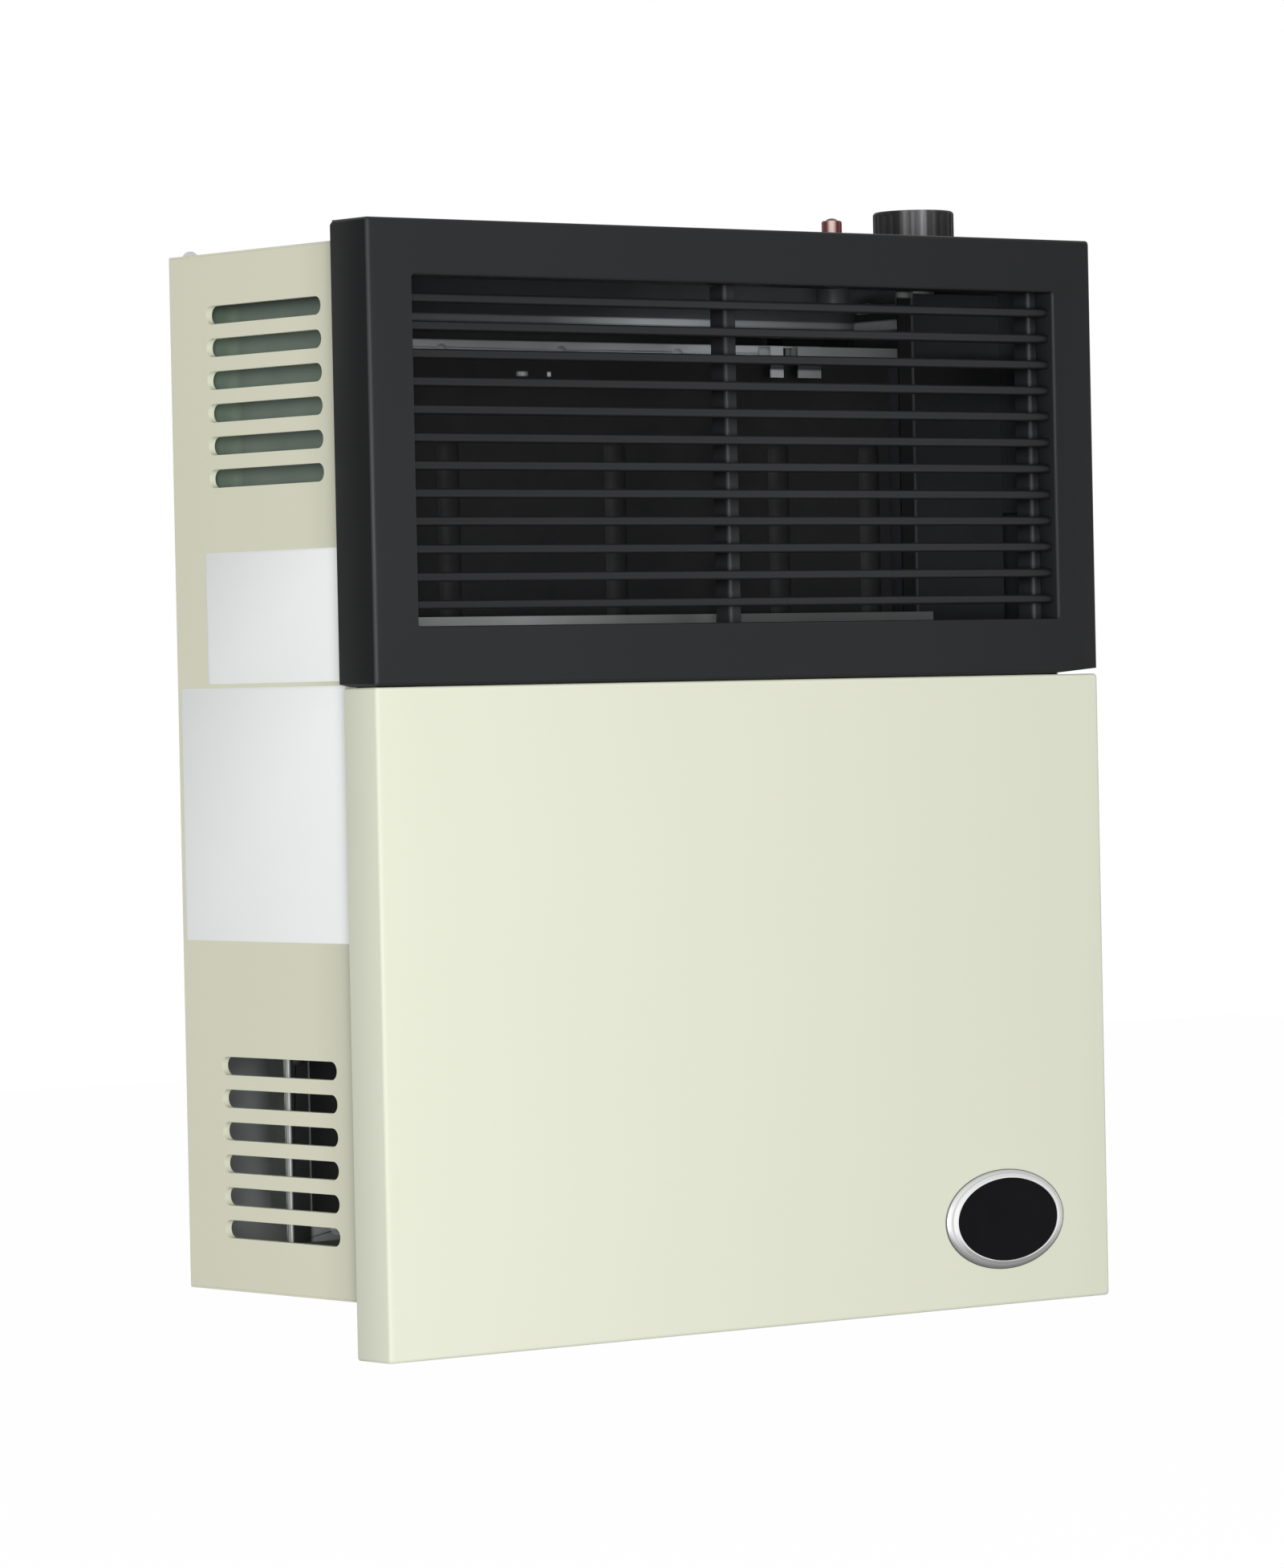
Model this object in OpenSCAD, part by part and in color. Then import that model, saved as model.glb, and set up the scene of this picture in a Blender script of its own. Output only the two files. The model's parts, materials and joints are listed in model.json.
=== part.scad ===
// Wall mounted gas heater with a balanced flue through the wall.
// +X is right as seen from the room, -Y points from the wall into the room, +Z is up.
// The origin is the middle of the four wall bolts, on the face that meets the wall.

/* [Front cover] */
// Width of the front cover
cover_w = 460; // [455:1:465]
// Height of the front cover
cover_h = 539; // [536:1:542]
// Distance from the wall to the front face
cover_d = 170; // [169:1:172]
// Height of the black grille bezel
bezel_h = 220.7; // [219:0.1:222]
// Depth of the bezel's flanges
bezel_flange = 29; // [26:1:31]
// Depth of the lower panel's flanges
panel_flange = 25.8; // [24:0.1:28]
// Thickness of the cover's sheet
cover_t = 1.2; // [1:0.1:1.3]
// Outside radius of the cover's bends
bend_r = 2; // [1.5:0.1:2.5]

/* [Grille] */
// Width of the grille window
window_w = 407.2; // [405:0.2:408]
// Height of the grille window
window_h = 165.5; // [164:0.5:167]
// Black border above the window
window_border = 27; // [26:0.5:28]
// Depth of the window's returns
window_return = 16; // [14:0.5:18]
// Number of slats
slat_count = 12; // [10:1:13]
// Distance from slat to slat
slat_pitch = 13.22; // [12:0.02:13.5]
// Height of one slat
slat_t = 4.5; // [3.5:0.1:5]
// Depth of one slat
slat_depth = 8; // [7:0.5:8]
// How far the slats stand back from the front face
slat_recess = 3.5; // [3:0.5:3.5]

/* [Badge] */
// Width of the oval badge
badge_w = 79.8; // [78:0.1:82]
// Height of the oval badge
badge_h = 50.4; // [48:0.1:54]
// Width of the badge's bare inlay
inlay_w = 67.2; // [64:0.1:69]
// Height of the badge's bare inlay
inlay_h = 41.6; // [38:0.1:43]
// Distance of the badge's middle from the cover's right edge
badge_in = 71.4; // [66:0.1:80]
// Height of the badge's middle above the cover's lower edge
badge_up = 43.5; // [40:0.1:50]

/* [Cabinet] */
// How far each cabinet side stands in from the cover's edge
side_inset = 6; // [5.5:0.5:6.5]
// How far the cabinet's top lies below the cover's top edge
top_drop = 9; // [8.5:0.5:9.5]
// How far the cabinet's bottom lies above the cover's lower edge
bottom_rise = 26.8; // [26:0.1:28]
// Depth of the cabinet, from the wall to its front lip
cabinet_d = 158; // [157.5:0.1:158]
// Thickness of the cabinet's sheet
sheet_t = 1; // [0.8:0.1:1]
// Width of the cabinet's inturned lips
lip_w = 12; // [11:0.5:12]

/* [Side louvres] */
// Number of slots in each group
louvre_count = 6; // [5:1:6]
// Height of one slot
louvre_h = 8.9; // [8:0.1:10]
// Length of one slot
louvre_len = 93.8; // [90:0.2:95]
// Distance from the wall to the middle of each slot
louvre_mid = 77.2; // [76:0.2:78]
// Distance from slot to slot
louvre_pitch = 15.85; // [15:0.05:16]
// Height of the middle of the upper group
louvre_upper_z = 191; // [189:1:192]
// Height of the middle of the lower group
louvre_lower_z = -173; // [-175:1:-171]

/* [Wall fixing] */
// Sideways distance between the wall bolts
bolt_dx = 413; // [411:1:415]
// Upright distance between the wall bolts
bolt_dz = 438; // [436:1:440]
// Diameter of the wall bolt holes
bolt_hole_d = 7; // [6:0.5:8]

/* [Vent] */
// Sideways place of the vent's axis
vent_x = -30; // [-34:1:-26]
// Height of the vent's axis
vent_z = 95; // [90:1:98]
// Outside diameter of the air intake collar
air_d = 127; // [120:1:127]
// Outside diameter of the flue collar
flue_d = 76; // [70:1:80]
// How far the air collar passes the wall face
air_reach = 30; // [20:1:40]
// How far the flue collar passes the wall face
flue_reach = 40; // [30:1:50]

/* [Controls] */
// Sideways place of the control knob
knob_x = 180; // [179:1:181]
// Diameter of the control knob
knob_d = 41.6; // [36:0.1:42]
// Height of the knob's top above the cabinet
knob_rise = 27.5; // [24:0.5:28]
// Number of flutes round the knob
knob_flutes = 30; // [20:1:36]
// Sideways place of the igniter button
button_x = 124.6; // [124:0.1:127]
// Diameter of the igniter button
button_d = 10.4; // [10:0.1:10.8]
// Height of the button's top above the cabinet
button_rise = 22.9; // [18:0.1:24]
// Depth at which the knob and the button stand, from the wall
control_y = 91; // [90:1:92]

/* [Combustion chamber] */
// Left side of the chamber
chamber_left = -194.8; // [-196:0.1:-194]
// Right side of the chamber
chamber_right = 136; // [135.8:0.1:136.2]
// Top of the chamber
chamber_top = 207.2; // [206:0.1:208]
// Bottom of the chamber
chamber_bottom = -207; // [-209:0.5:-205]
// Width of the bolted flange round the chamber
flange_w = 12.5; // [12:0.1:12.5]
// Distance from the wall to the chamber's back
chamber_back = 28; // [28:0.1:28.2]
// Distance from the wall to the flange's gasket
chamber_split = 60; // [59.5:0.5:60.5]
// Distance from the wall to the chamber's front
chamber_front = 119; // [118.8:0.1:119]

/* [Hidden] */
$fn = 48;

// Edges of the cover and the cabinet
cover_x = cover_w / 2;
cover_z = cover_h / 2;
bezel_z = cover_z - bezel_h;
cover_gap = 0.2;
side_x = cover_x - side_inset;
cabinet_top = cover_z - top_drop;
cabinet_bottom = bottom_rise - cover_z;
plate_t = 1.5;
past = 1;

// The grille window, and the returns that join the bezel to the lower panel
window_x = window_w / 2;
window_top = cover_z - window_border;
window_z = window_top - window_h;
seam_return = 12;
seam_relief = 2.7;
seam_notch = 12;
relief_x = window_x - 8;
corner_cut = 2.4;
seam_cut = [9, 1.4];
bar_t = 1.2;
bar_d = 11;
bar_w = 6.6;
centre_bar_x = 0.2;
centre_bar_w = 7.8;
slat_back = cover_d - slat_recess - slat_depth;

// Inner sheets
liner_x = 213;
liner_front = 138;
liner_back = 20;
divider_x = 152.5;
divider_front = 120;
divider_lip = 10;
divider_top = 207;
shield_d = 134;
shield_top = 81.7;
shield_bottom = -200;
shield_right = 150.4;

// The chamber's outline
chamber_w = chamber_right - chamber_left;
chamber_h = chamber_top - chamber_bottom;
gasket_t = 2;
bead_r = 7.8;
bead_rise = 3.5;
bead_x = [-146, -43, 62, 122];
bead_bottom = -100;
bead_top = 163;
tube_wall = 1;
stop_bead = 1.5;
duct_w = 150;
duct_front = 51;
duct_top = 170;
duct_bottom = -150;

// Burner and pilot
burner_y = -95;
burner_z = -150;
burner_r = 13;
pilot_z = -122;
pilot_y = -94;
thermocouple_y = -82;
electrode_y = -106;
flange_out = chamber_right + 2;
lead_start = chamber_right + 6;

// Gas valve
knob_y = -control_y;
valve_left = 160;
valve_w = 46;
valve_d = 50;
valve_front = 116;
valve_bottom = 178;
valve_top = 236;
valve_cover_t = 4;
boss_top = 247;
shaft_r = 4;
shaft_gap = 0.06;
cavity_r = 9;
cavity_bottom = 200;
washer_bottom = 221.5;
washer_t = 2.5;
spindle_foot = washer_bottom + washer_t;
knob_press = 6;
knob_top = cabinet_top + knob_rise;
knob_bottom = cabinet_top + 2.5;
button_press = 6;
button_top = cabinet_top + button_rise;
button_bottom = 248;
igniter_r = 8.5;
igniter_bottom = 236;
igniter_bore_r = button_d / 2 + 0.3;
igniter_floor = 238.4;
button_bore_r = 3.7;
button_bore_top = 262;
lead_z = 238;
lead_up_x = 156;
bracket_screw_z = [181, 201];
igniter_neck_top = 266;

// Where each pipe enters the valve's underside: sideways place, depth place, pipe radius
inlet_at = [196, -82];
outlet_at = [176, -95];
pilot_at = [164, -94];
thermocouple_at = [164, -82];
bulb_at = [162, -72];
inlet_r = 6;
outlet_r = 4;
pilot_r = 2;
lead_r = 1.3;
nut_h = 8;

// Places of the fasteners
cabinet_screw_x = side_x - 6.5;
cabinet_screw_y = [-9, -146];
back_screw_z = [-200, 0, 200];
rail_screw_z = [-200, 0, 90, 220];
label_t = 0.2;

cream = "#e6e8d5";
side_cream = "#d8d9c4";
black = "#323335";
dark = "#1c1d1f";
zinc = "#b9bcbb";
galvanised = "#9aa3a3";
brass = "#b8954a";
white = "#eceeed";

// ---------- Shapes that repeat ----------

// A bent sheet's section: a strip of thickness t along the points
module strip(points, t) {
    for (i = [0 : len(points) - 2]) {
        along = points[i + 1] - points[i];
        translate(points[i])
            rotate(atan2(along[1], along[0]))
                translate([0, -t / 2])
                    square([norm(along), t]);
    }
    for (i = [1 : 1 : len(points) - 2])
        translate(points[i])
            circle(d = t);
}

// A section drawn in Y and Z, run along X from x0 to x1
module along_x(x0, x1) {
    translate([x0, 0, 0])
        rotate([90, 0, 90])
            linear_extrude(x1 - x0)
                children();
}

// A section drawn in X and Y, run along Z from z0 to z1
module along_z(z0, z1) {
    translate([0, 0, z0])
        linear_extrude(z1 - z0)
            children();
}

// A section drawn in X and Z, run from the depth d1 back to the depth d0
module along_y(d0, d1) {
    translate([0, -d0, 0])
        rotate([90, 0, 0])
            linear_extrude(d1 - d0)
                children();
}

// A box given by its two corners
module block(low, high) {
    translate(low)
        cube(high - low);
}

// A slot with round ends, its middle at the origin
module slot(length, height) {
    square([length - height, height], center = true);
    for (side = [-1, 1])
        translate([side * (length - height) / 2, 0])
            circle(d = height);
}

// An ellipse with the given full width and height
module oval(w, h, steps = 72) {
    polygon([for (i = [0 : steps - 1])
        [cos(i * 360 / steps) * w / 2, sin(i * 360 / steps) * h / 2]]);
}

// The waste outside a quarter round of radius r, its sharp corner at the origin
module corner_waste(r) {
    difference() {
        translate([-past, -past])
            square(r + past);
        translate([r, r])
            circle(r = r);
    }
}

// A block behind the front face, with rounded bends at its sides, its foot and its top
module bent_block(half_w, z0, z1, face, back, r) {
    intersection() {
        along_z(z0, z1)
            difference() {
                translate([-half_w, -face])
                    square([2 * half_w, face - back]);
                for (side = [0, 1])
                    mirror([side, 0])
                        translate([-half_w, -face])
                            corner_waste(r);
            }
        along_x(-half_w, half_w)
            difference() {
                translate([-face, z0])
                    square([face - back, z1 - z0]);
                translate([-face, z0])
                    corner_waste(r);
                translate([-face, z1])
                    mirror([0, 1])
                        corner_waste(r);
            }
    }
}

// A bent channel's section: its face on y = 0, its two flanges running back along +Y
module channel(w, depth, t, r) {
    difference() {
        translate([-w / 2, 0])
            square([w, depth]);
        for (side = [0, 1])
            mirror([side, 0])
                translate([-w / 2, 0])
                    corner_waste(r);
        difference() {
            translate([t - w / 2, t])
                square([w - 2 * t, depth]);
            for (side = [0, 1])
                mirror([side, 0])
                    translate([t - w / 2, t])
                        corner_waste(r - t);
        }
    }
}

// Points the Z axis of its children along the unit vector d
module aim(d) {
    u = d[2] == 0 ? [0, 0, 1] : [1, 0, 0];
    v = cross(d, u);
    multmatrix([[u[0], v[0], d[0], 0], [u[1], v[1], d[1], 0], [u[2], v[2], d[2], 0]])
        children();
}

// A rod of radius r along square-cornered points, with bends of radius bend; a bore makes it a pipe
module run(points, r, bend, bore = 0) {
    last = len(points) - 1;
    for (i = [0 : last - 1]) {
        d = (points[i + 1] - points[i]) / norm(points[i + 1] - points[i]);
        trim_a = i == 0 ? 0 : bend;
        trim_b = i == last - 1 ? 0 : bend;
        length = norm(points[i + 1] - points[i]) - trim_a - trim_b;
        translate(points[i] + d * trim_a)
            aim(d)
                difference() {
                    cylinder(r = r, h = length, $fn = 32);
                    if (bore > 0)
                        translate([0, 0, -past])
                            cylinder(r = bore, h = length + 2 * past, $fn = 32);
                }
    }
    for (i = [1 : 1 : last - 1]) {
        d = (points[i] - points[i - 1]) / norm(points[i] - points[i - 1]);
        e = (points[i + 1] - points[i]) / norm(points[i + 1] - points[i]);
        c = points[i] - d * bend + e * bend;
        n = cross(d, e);
        multmatrix([[-e[0], d[0], n[0], c[0]], [-e[1], d[1], n[1], c[1]], [-e[2], d[2], n[2], c[2]]])
            rotate_extrude(angle = 90)
                translate([bend, 0])
                    difference() {
                        circle(r = r, $fn = 32);
                        if (bore > 0)
                            circle(r = bore, $fn = 32);
                    }
    }
}

// A coil spring standing on z0, closed into one swept tube
module coil(z0, z1, coil_r, wire_r, turns) {
    rings_a_turn = 12;
    sides = 6;
    rings = rings_a_turn * turns;
    rise = z1 - z0 - 2 * wire_r;
    function ring(i) = [for (s = [0 : sides - 1])
        let (a = i * 360 / rings_a_turn, b = s * 360 / sides, out = coil_r + wire_r * cos(b))
        [out * cos(a), out * sin(a), z0 + wire_r + rise * i / rings + wire_r * sin(b)]];
    corners = [for (i = [0 : rings]) each ring(i)];
    walls = [for (i = [0 : rings - 1], s = [0 : sides - 1])
        let (a = i * sides + s, b = i * sides + (s + 1) % sides)
        each [[a, a + sides, b], [b, a + sides, b + sides]]];
    ends = [[for (s = [0 : sides - 1]) s], [for (s = [sides - 1 : -1 : 0]) rings * sides + s]];
    polyhedron(points = corners, faces = concat(walls, ends), convexity = 10);
}

// A domed screw that points down, its head resting on z = 0
module screw(head_r, head_h, shank_r, length) {
    dome_r = (head_r * head_r + head_h * head_h) / (2 * head_h);
    difference() {
        intersection() {
            translate([0, 0, head_h - dome_r])
                sphere(r = dome_r);
            cylinder(r = head_r, h = head_h);
        }
        for (turn = [0, 90])
            rotate(turn)
                block([-head_r * 0.5, -0.4, head_h * 0.5], [head_r * 0.5, 0.4, head_h + past]);
    }
    translate([0, 0, -length])
        cylinder(r = shank_r, h = length);
}

// Puts a screw at p, turned so that it points back to the wall
module wallward(p) {
    translate(p)
        rotate([90, 0, 0])
            children();
}

// Puts its children on the left and mirrors them to the right
module both_sides() {
    for (side = [0, 1])
        mirror([side, 0, 0])
            children();
}

// ---------- Cabinet ----------

module back_plate() {
    color(galvanised)
        along_y(0, plate_t)
            difference() {
                translate([-side_x + sheet_t, cabinet_bottom + sheet_t])
                    square([2 * (side_x - sheet_t), cabinet_top - cabinet_bottom - 2 * sheet_t]);
                for (x = [-1, 1], z = [-1, 1])
                    translate([x * bolt_dx / 2, z * bolt_dz / 2])
                        circle(d = bolt_hole_d);
                for (x = [-1, 1], z = back_screw_z)
                    translate([x * cabinet_screw_x, z])
                        circle(r = 1.9);
                translate([vent_x, vent_z])
                    circle(r = air_d / 2 + 2.5);
            }
}

// One group of slots, or of the rims turned in round them
module louvres(middle_z, grow) {
    for (i = [0 : louvre_count - 1])
        translate([-louvre_mid, middle_z + (i - (louvre_count - 1) / 2) * louvre_pitch])
            slot(louvre_len + 2 * grow, louvre_h + 2 * grow);
}

module side_panel() {
    rim = 0.8;
    rim_depth = 2.5;
    low = cabinet_bottom + sheet_t;
    high = cabinet_top - sheet_t;
    difference() {
        union() {
            difference() {
                block([-side_x, -cabinet_d, low], [-side_x + lip_w + sheet_t, -plate_t, high]);
                block([-side_x + sheet_t, sheet_t - cabinet_d, low + sheet_t],
                    [past - side_x + lip_w + sheet_t, -plate_t - sheet_t, high - sheet_t]);
            }
            block([-side_x, -plate_t, low], [-side_x + sheet_t, 0, high]);
            along_x(-side_x + sheet_t / 2, -side_x + sheet_t + rim_depth) {
                louvres(louvre_upper_z, rim);
                louvres(louvre_lower_z, rim);
            }
        }
        along_x(-side_x - past, -side_x + sheet_t + rim_depth + past) {
            louvres(louvre_upper_z, 0);
            louvres(louvre_lower_z, 0);
        }
        for (y = cabinet_screw_y)
            translate([-cabinet_screw_x, y, low - past])
                cylinder(r = 1.9, h = high - low + 2 * past);
        for (z = back_screw_z)
            wallward([-cabinet_screw_x, past, z])
                cylinder(r = 1.9, h = plate_t + sheet_t + 2 * past);
        for (z = rail_screw_z)
            wallward([-cabinet_screw_x, past + sheet_t - cabinet_d, z])
                cylinder(r = 1.9, h = sheet_t + 2 * past);
        block([-side_x - past, -cabinet_d - past, bezel_z - seam_notch / 2],
            [2 * past - side_x + lip_w, seam_notch - cabinet_d, bezel_z + seam_notch / 2]);
    }
}

module left_side_panel() {
    color(side_cream)
        side_panel();
}

module right_side_panel() {
    color(side_cream)
        mirror([1, 0, 0])
            side_panel();
}

module top_panel() {
    lip_x = side_x - lip_w - 2 * sheet_t;
    color(side_cream)
        difference() {
            union() {
                block([-side_x, -cabinet_d, cabinet_top - sheet_t], [side_x, 0, cabinet_top]);
                block([-lip_x, -cabinet_d, cabinet_top - 10], [lip_x, sheet_t - cabinet_d, cabinet_top]);
            }
            translate([knob_x, knob_y, cabinet_top - sheet_t - past])
                cylinder(r = knob_d / 2 + 2.5, h = sheet_t + 2 * past);
            translate([button_x, knob_y, cabinet_top - sheet_t - past])
                cylinder(r = igniter_r + 0.2, h = sheet_t + 2 * past);
            for (x = [-1, 1], y = cabinet_screw_y)
                translate([x * cabinet_screw_x, y, cabinet_top - sheet_t - past])
                    cylinder(r = 1.9, h = sheet_t + 2 * past);
        }
}

module bottom_panel() {
    lip_x = side_x - lip_w - 2 * sheet_t;
    vent_slots = 9;
    vent_pitch = 38;
    rows = [-40, -60, -124];
    color(side_cream)
        difference() {
            union() {
                block([-side_x, -cabinet_d, cabinet_bottom], [side_x, 0, cabinet_bottom + sheet_t]);
                block([-lip_x, -cabinet_d, cabinet_bottom],
                    [lip_x, sheet_t - cabinet_d, cabinet_bottom + 10]);
            }
            along_z(cabinet_bottom - past, cabinet_bottom + sheet_t + past)
                for (i = [0 : vent_slots - 1], y = rows)
                    translate([(i - (vent_slots - 1) / 2) * vent_pitch - 20, y])
                        slot(28, 7);
            translate([inlet_at[0], inlet_at[1], cabinet_bottom - past])
                cylinder(r = 15, h = sheet_t + 2 * past);
            for (x = [-1, 1], y = cabinet_screw_y)
                translate([x * cabinet_screw_x, y, cabinet_bottom - past])
                    cylinder(r = 1.9, h = sheet_t + 2 * past);
        }
}

module cabinet_screw() {
    screw(head_r = 4, head_h = 2.8, shank_r = 1.75, length = 4);
}

module cabinet_screws() {
    rail_face = cabinet_d + sheet_t;
    color(zinc) {
        for (x = [-1, 1]) {
            for (y = cabinet_screw_y)
                translate([x * cabinet_screw_x, y, cabinet_top])
                    cabinet_screw();
            translate([x * cabinet_screw_x, cabinet_screw_y[1], cabinet_bottom])
                mirror([0, 0, 1])
                    cabinet_screw();
            translate([x * cabinet_screw_x, cabinet_screw_y[0], cabinet_bottom + 2 * sheet_t])
                screw(head_r = 4, head_h = 2.8, shank_r = 1.75, length = 2 * sheet_t);
        }
        for (x = [-1, 1], z = back_screw_z)
            wallward([x * cabinet_screw_x, -plate_t - sheet_t, z])
                screw(head_r = 4, head_h = 2.8, shank_r = 1.75, length = plate_t + sheet_t);
        for (x = [-1, 1], z = rail_screw_z)
            wallward([x * cabinet_screw_x, -rail_face, z])
                cabinet_screw();
    }
}

// Galvanised sheets that close the upper louvres off from the warm air
module side_liners() {
    low = 132;
    high = cabinet_top - 2 * sheet_t;
    out = side_x - sheet_t;
    half = sheet_t / 2;
    color(galvanised)
        both_sides()
            rotate([90, 0, 0])
                translate([0, 0, liner_back])
                    linear_extrude(liner_front - liner_back)
                        strip([[-out, low + half], [-liner_x - half, low + half],
                            [-liner_x - half, high - half], [-out, high - half]], sheet_t);
}

// ---------- Front cover ----------

// Brackets that carry the cover on the cabinet's front lips, two for the bezel and two for the panel
module cover_rails() {
    half = sheet_t / 2;
    spans = [[cabinet_bottom + 4, bezel_z - 9], [bezel_z + 9, cabinet_top - 11]];
    web_x = side_x - 15.5;
    out = side_x - 2;
    back = cabinet_d + half;
    front = cover_d - cover_t - half;
    color(zinc)
        difference() {
            both_sides()
                for (span = spans)
                    along_z(span[0], span[1])
                        strip([[-out, -back], [-web_x, -back], [-web_x, -front], [-out, -front]], sheet_t);
            for (x = [-1, 1], z = rail_screw_z)
                wallward([x * cabinet_screw_x, past - cabinet_d, z])
                    cylinder(r = 1.9, h = sheet_t + 2 * past);
        }
}

// The cream lower panel, a pan with three flanges and a return along its seam
module front_panel() {
    high = bezel_z - cover_gap;
    color(cream)
        difference() {
            bent_block(cover_x, -cover_z, high, cover_d, cover_d - panel_flange, bend_r);
            bent_block(cover_x - cover_t, cover_t - cover_z, high - cover_t, cover_d - cover_t,
                cover_d - panel_flange - past, bend_r - cover_t);
            block([-cover_x + cover_t, seam_return - cover_d, high - 2 * cover_t],
                [cover_x - cover_t, 0, high + past]);
            for (side = [0, 1])
                mirror([side, 0, 0])
                    block([window_x, cover_t - cover_d, high - 2 * cover_t],
                        [cover_x - cover_t, 0, high + past]);
        }
}

// The black upper part: a flanged frame with returns round the window
module grille_bezel() {
    back = cover_d - bezel_flange;
    edge = cover_t;
    color(black)
        difference() {
            union() {
                difference() {
                    bent_block(cover_x, bezel_z, cover_z, cover_d, back, bend_r);
                    bent_block(cover_x - edge, bezel_z + edge, cover_z - edge, cover_d - edge,
                        back - past, bend_r - edge);
                    block([-cover_x + edge, seam_return - cover_d, bezel_z - past],
                        [cover_x - edge, 0, bezel_z + 2 * edge]);
                    block([relief_x, edge - cover_d, bezel_z - past],
                        [cover_x - edge, 0, bezel_z + seam_relief]);
                }
                block([-window_x - edge, -cover_d + edge / 2, window_z - edge],
                    [window_x + edge, window_return - cover_d, window_top + edge]);
            }
            block([-window_x, -cover_d - past, window_z], [window_x, 0, window_top]);
            along_y(0, cover_d + past)
                polygon([[relief_x, bezel_z - past], [relief_x, bezel_z],
                    [cover_x, bezel_z + seam_relief], [cover_x + past, bezel_z + seam_relief],
                    [cover_x + past, bezel_z - past]]);
            along_x(-cover_x - past, edge - cover_x)
                polygon([[past - back, cover_z - corner_cut - past], [past - back, cover_z + past],
                    [-back - corner_cut - past, cover_z + past]]);
            along_x(-cover_x - past, edge - cover_x)
                polygon([[past - back, bezel_z + seam_cut[1]], [past - back, bezel_z - past],
                    [-back - seam_cut[0], bezel_z - past]]);
        }
}

// Twelve separate blades with rounded noses
module grille_slats() {
    middle = (window_top + window_z) / 2;
    nose = slat_t / 2;
    front = cover_d - slat_recess;
    end = window_x - 0.3;
    color(black)
        for (i = [0 : slat_count - 1])
            translate([0, 0, middle + (i - (slat_count - 1) / 2) * slat_pitch])
                along_x(-end, end) {
                    translate([nose - front, 0])
                        circle(r = nose);
                    translate([nose - front, -nose])
                        square([slat_depth - nose, slat_t]);
                }
}

// Upright channels that the slats are welded to
module grille_bars() {
    middles = [[-window_x + bar_w / 2, bar_w], [centre_bar_x, centre_bar_w], [window_x - bar_w / 2, bar_w]];
    color(black)
        for (bar = middles)
            translate([bar[0], -slat_back, 0])
                along_z(window_z, window_top)
                    channel(w = bar[1], depth = bar_d, t = bar_t, r = bend_r);
}

module at_badge() {
    translate([cover_x - badge_in, -cover_d, badge_up - cover_z])
        rotate([90, 0, 0])
            children();
}

// Rim that slopes up from the panel to the inlay
module badge_rim() {
    rise = 3;
    crest = 1;
    color("#c9cbcc")
        at_badge()
            difference() {
                hull() {
                    linear_extrude(0.5)
                        oval(badge_w, badge_h);
                    linear_extrude(rise)
                        oval(inlay_w + 2 * crest, inlay_h + 2 * crest);
                }
                translate([0, 0, -past])
                    linear_extrude(rise + 2 * past)
                        oval(inlay_w, inlay_h);
            }
}

module badge_inlay() {
    color(dark)
        at_badge()
            linear_extrude(2.3)
                oval(inlay_w, inlay_h);
}

// Two blank stickers on the left side
module side_labels() {
    color(white) {
        block([-side_x - label_t, -141, 51.9], [-side_x, -26, 115.4]);
        block([-side_x - label_t, -138, -72.7], [-side_x, -3, 49.9]);
    }
}

// ---------- Sheets behind the cover ----------

// Turns the warm air forward to the grille, with its roof notched round the igniter and the gas valve
module heat_deflector() {
    lip_y = -30;
    roof_z = 254;
    color(galvanised)
        difference() {
            along_x(-liner_x, liner_x)
                strip([[lip_y, 229], [lip_y, 235], [-66, roof_z], [-150, roof_z]], sheet_t);
            block([button_x - 18, -cover_d, roof_z - 4], [liner_x + past, -72, roof_z + 4]);
        }
}

// Keeps the burner's heat off the lower front panel
module radiation_shield() {
    wall_x = side_x - sheet_t;
    half = sheet_t / 2;
    color(galvanised)
        difference() {
            union() {
                block([-wall_x, -shield_d, shield_bottom], [shield_right, sheet_t - shield_d, shield_top]);
                block([-wall_x, -shield_d, shield_bottom], [sheet_t - wall_x, -126, shield_top]);
                along_x(-wall_x, shield_right)
                    strip([[half - shield_d, shield_top - half], [-124.5, shield_top - half]], sheet_t);
                along_x(-wall_x, shield_right)
                    strip([[half - shield_d, shield_bottom + half], [-124.5, shield_bottom + half]], sheet_t);
            }
            translate([95, sheet_t - shield_d + past, pilot_z])
                rotate([90, 0, 0])
                    cylinder(r = 14, h = sheet_t + 2 * past);
        }
}

// The wall of the valve compartment, cut down behind its front post so that the deflector passes over it.
// Two clips on its lip carry the shield's right edge.
module valve_divider() {
    low = cabinet_bottom + sheet_t;
    high = cabinet_top - sheet_t;
    half = sheet_t / 2;
    mid = divider_x + half;
    clip_back = divider_front + half;
    clip_front = shield_d - sheet_t - half;
    clip_x = shield_right - 6;
    color(dark)
        difference() {
            union() {
                along_z(low, high)
                    strip([[mid - divider_lip, half - divider_front], [mid, half - divider_front],
                        [mid, -plate_t - half], [mid + 12, -plate_t - half]], sheet_t);
                for (z = [-140, 40])
                    along_z(z, z + 20)
                        strip([[clip_x - 7, -clip_front], [clip_x, -clip_front], [clip_x, -clip_back],
                            [shield_right, -clip_back]], sheet_t);
            }
            along_x(divider_x - past, divider_x + sheet_t + past) {
                translate([pilot_y, pilot_z])
                    slot(36, 12);
                translate([burner_y, burner_z])
                    circle(r = 8);
                for (z = bracket_screw_z)
                    translate([-86, z])
                        circle(r = 2.1);
            }
            block([divider_x - past, 9.5 - divider_front + sheet_t, divider_top],
                [divider_x + sheet_t + past, -plate_t - 2 * sheet_t, cabinet_top]);
        }
}

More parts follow.
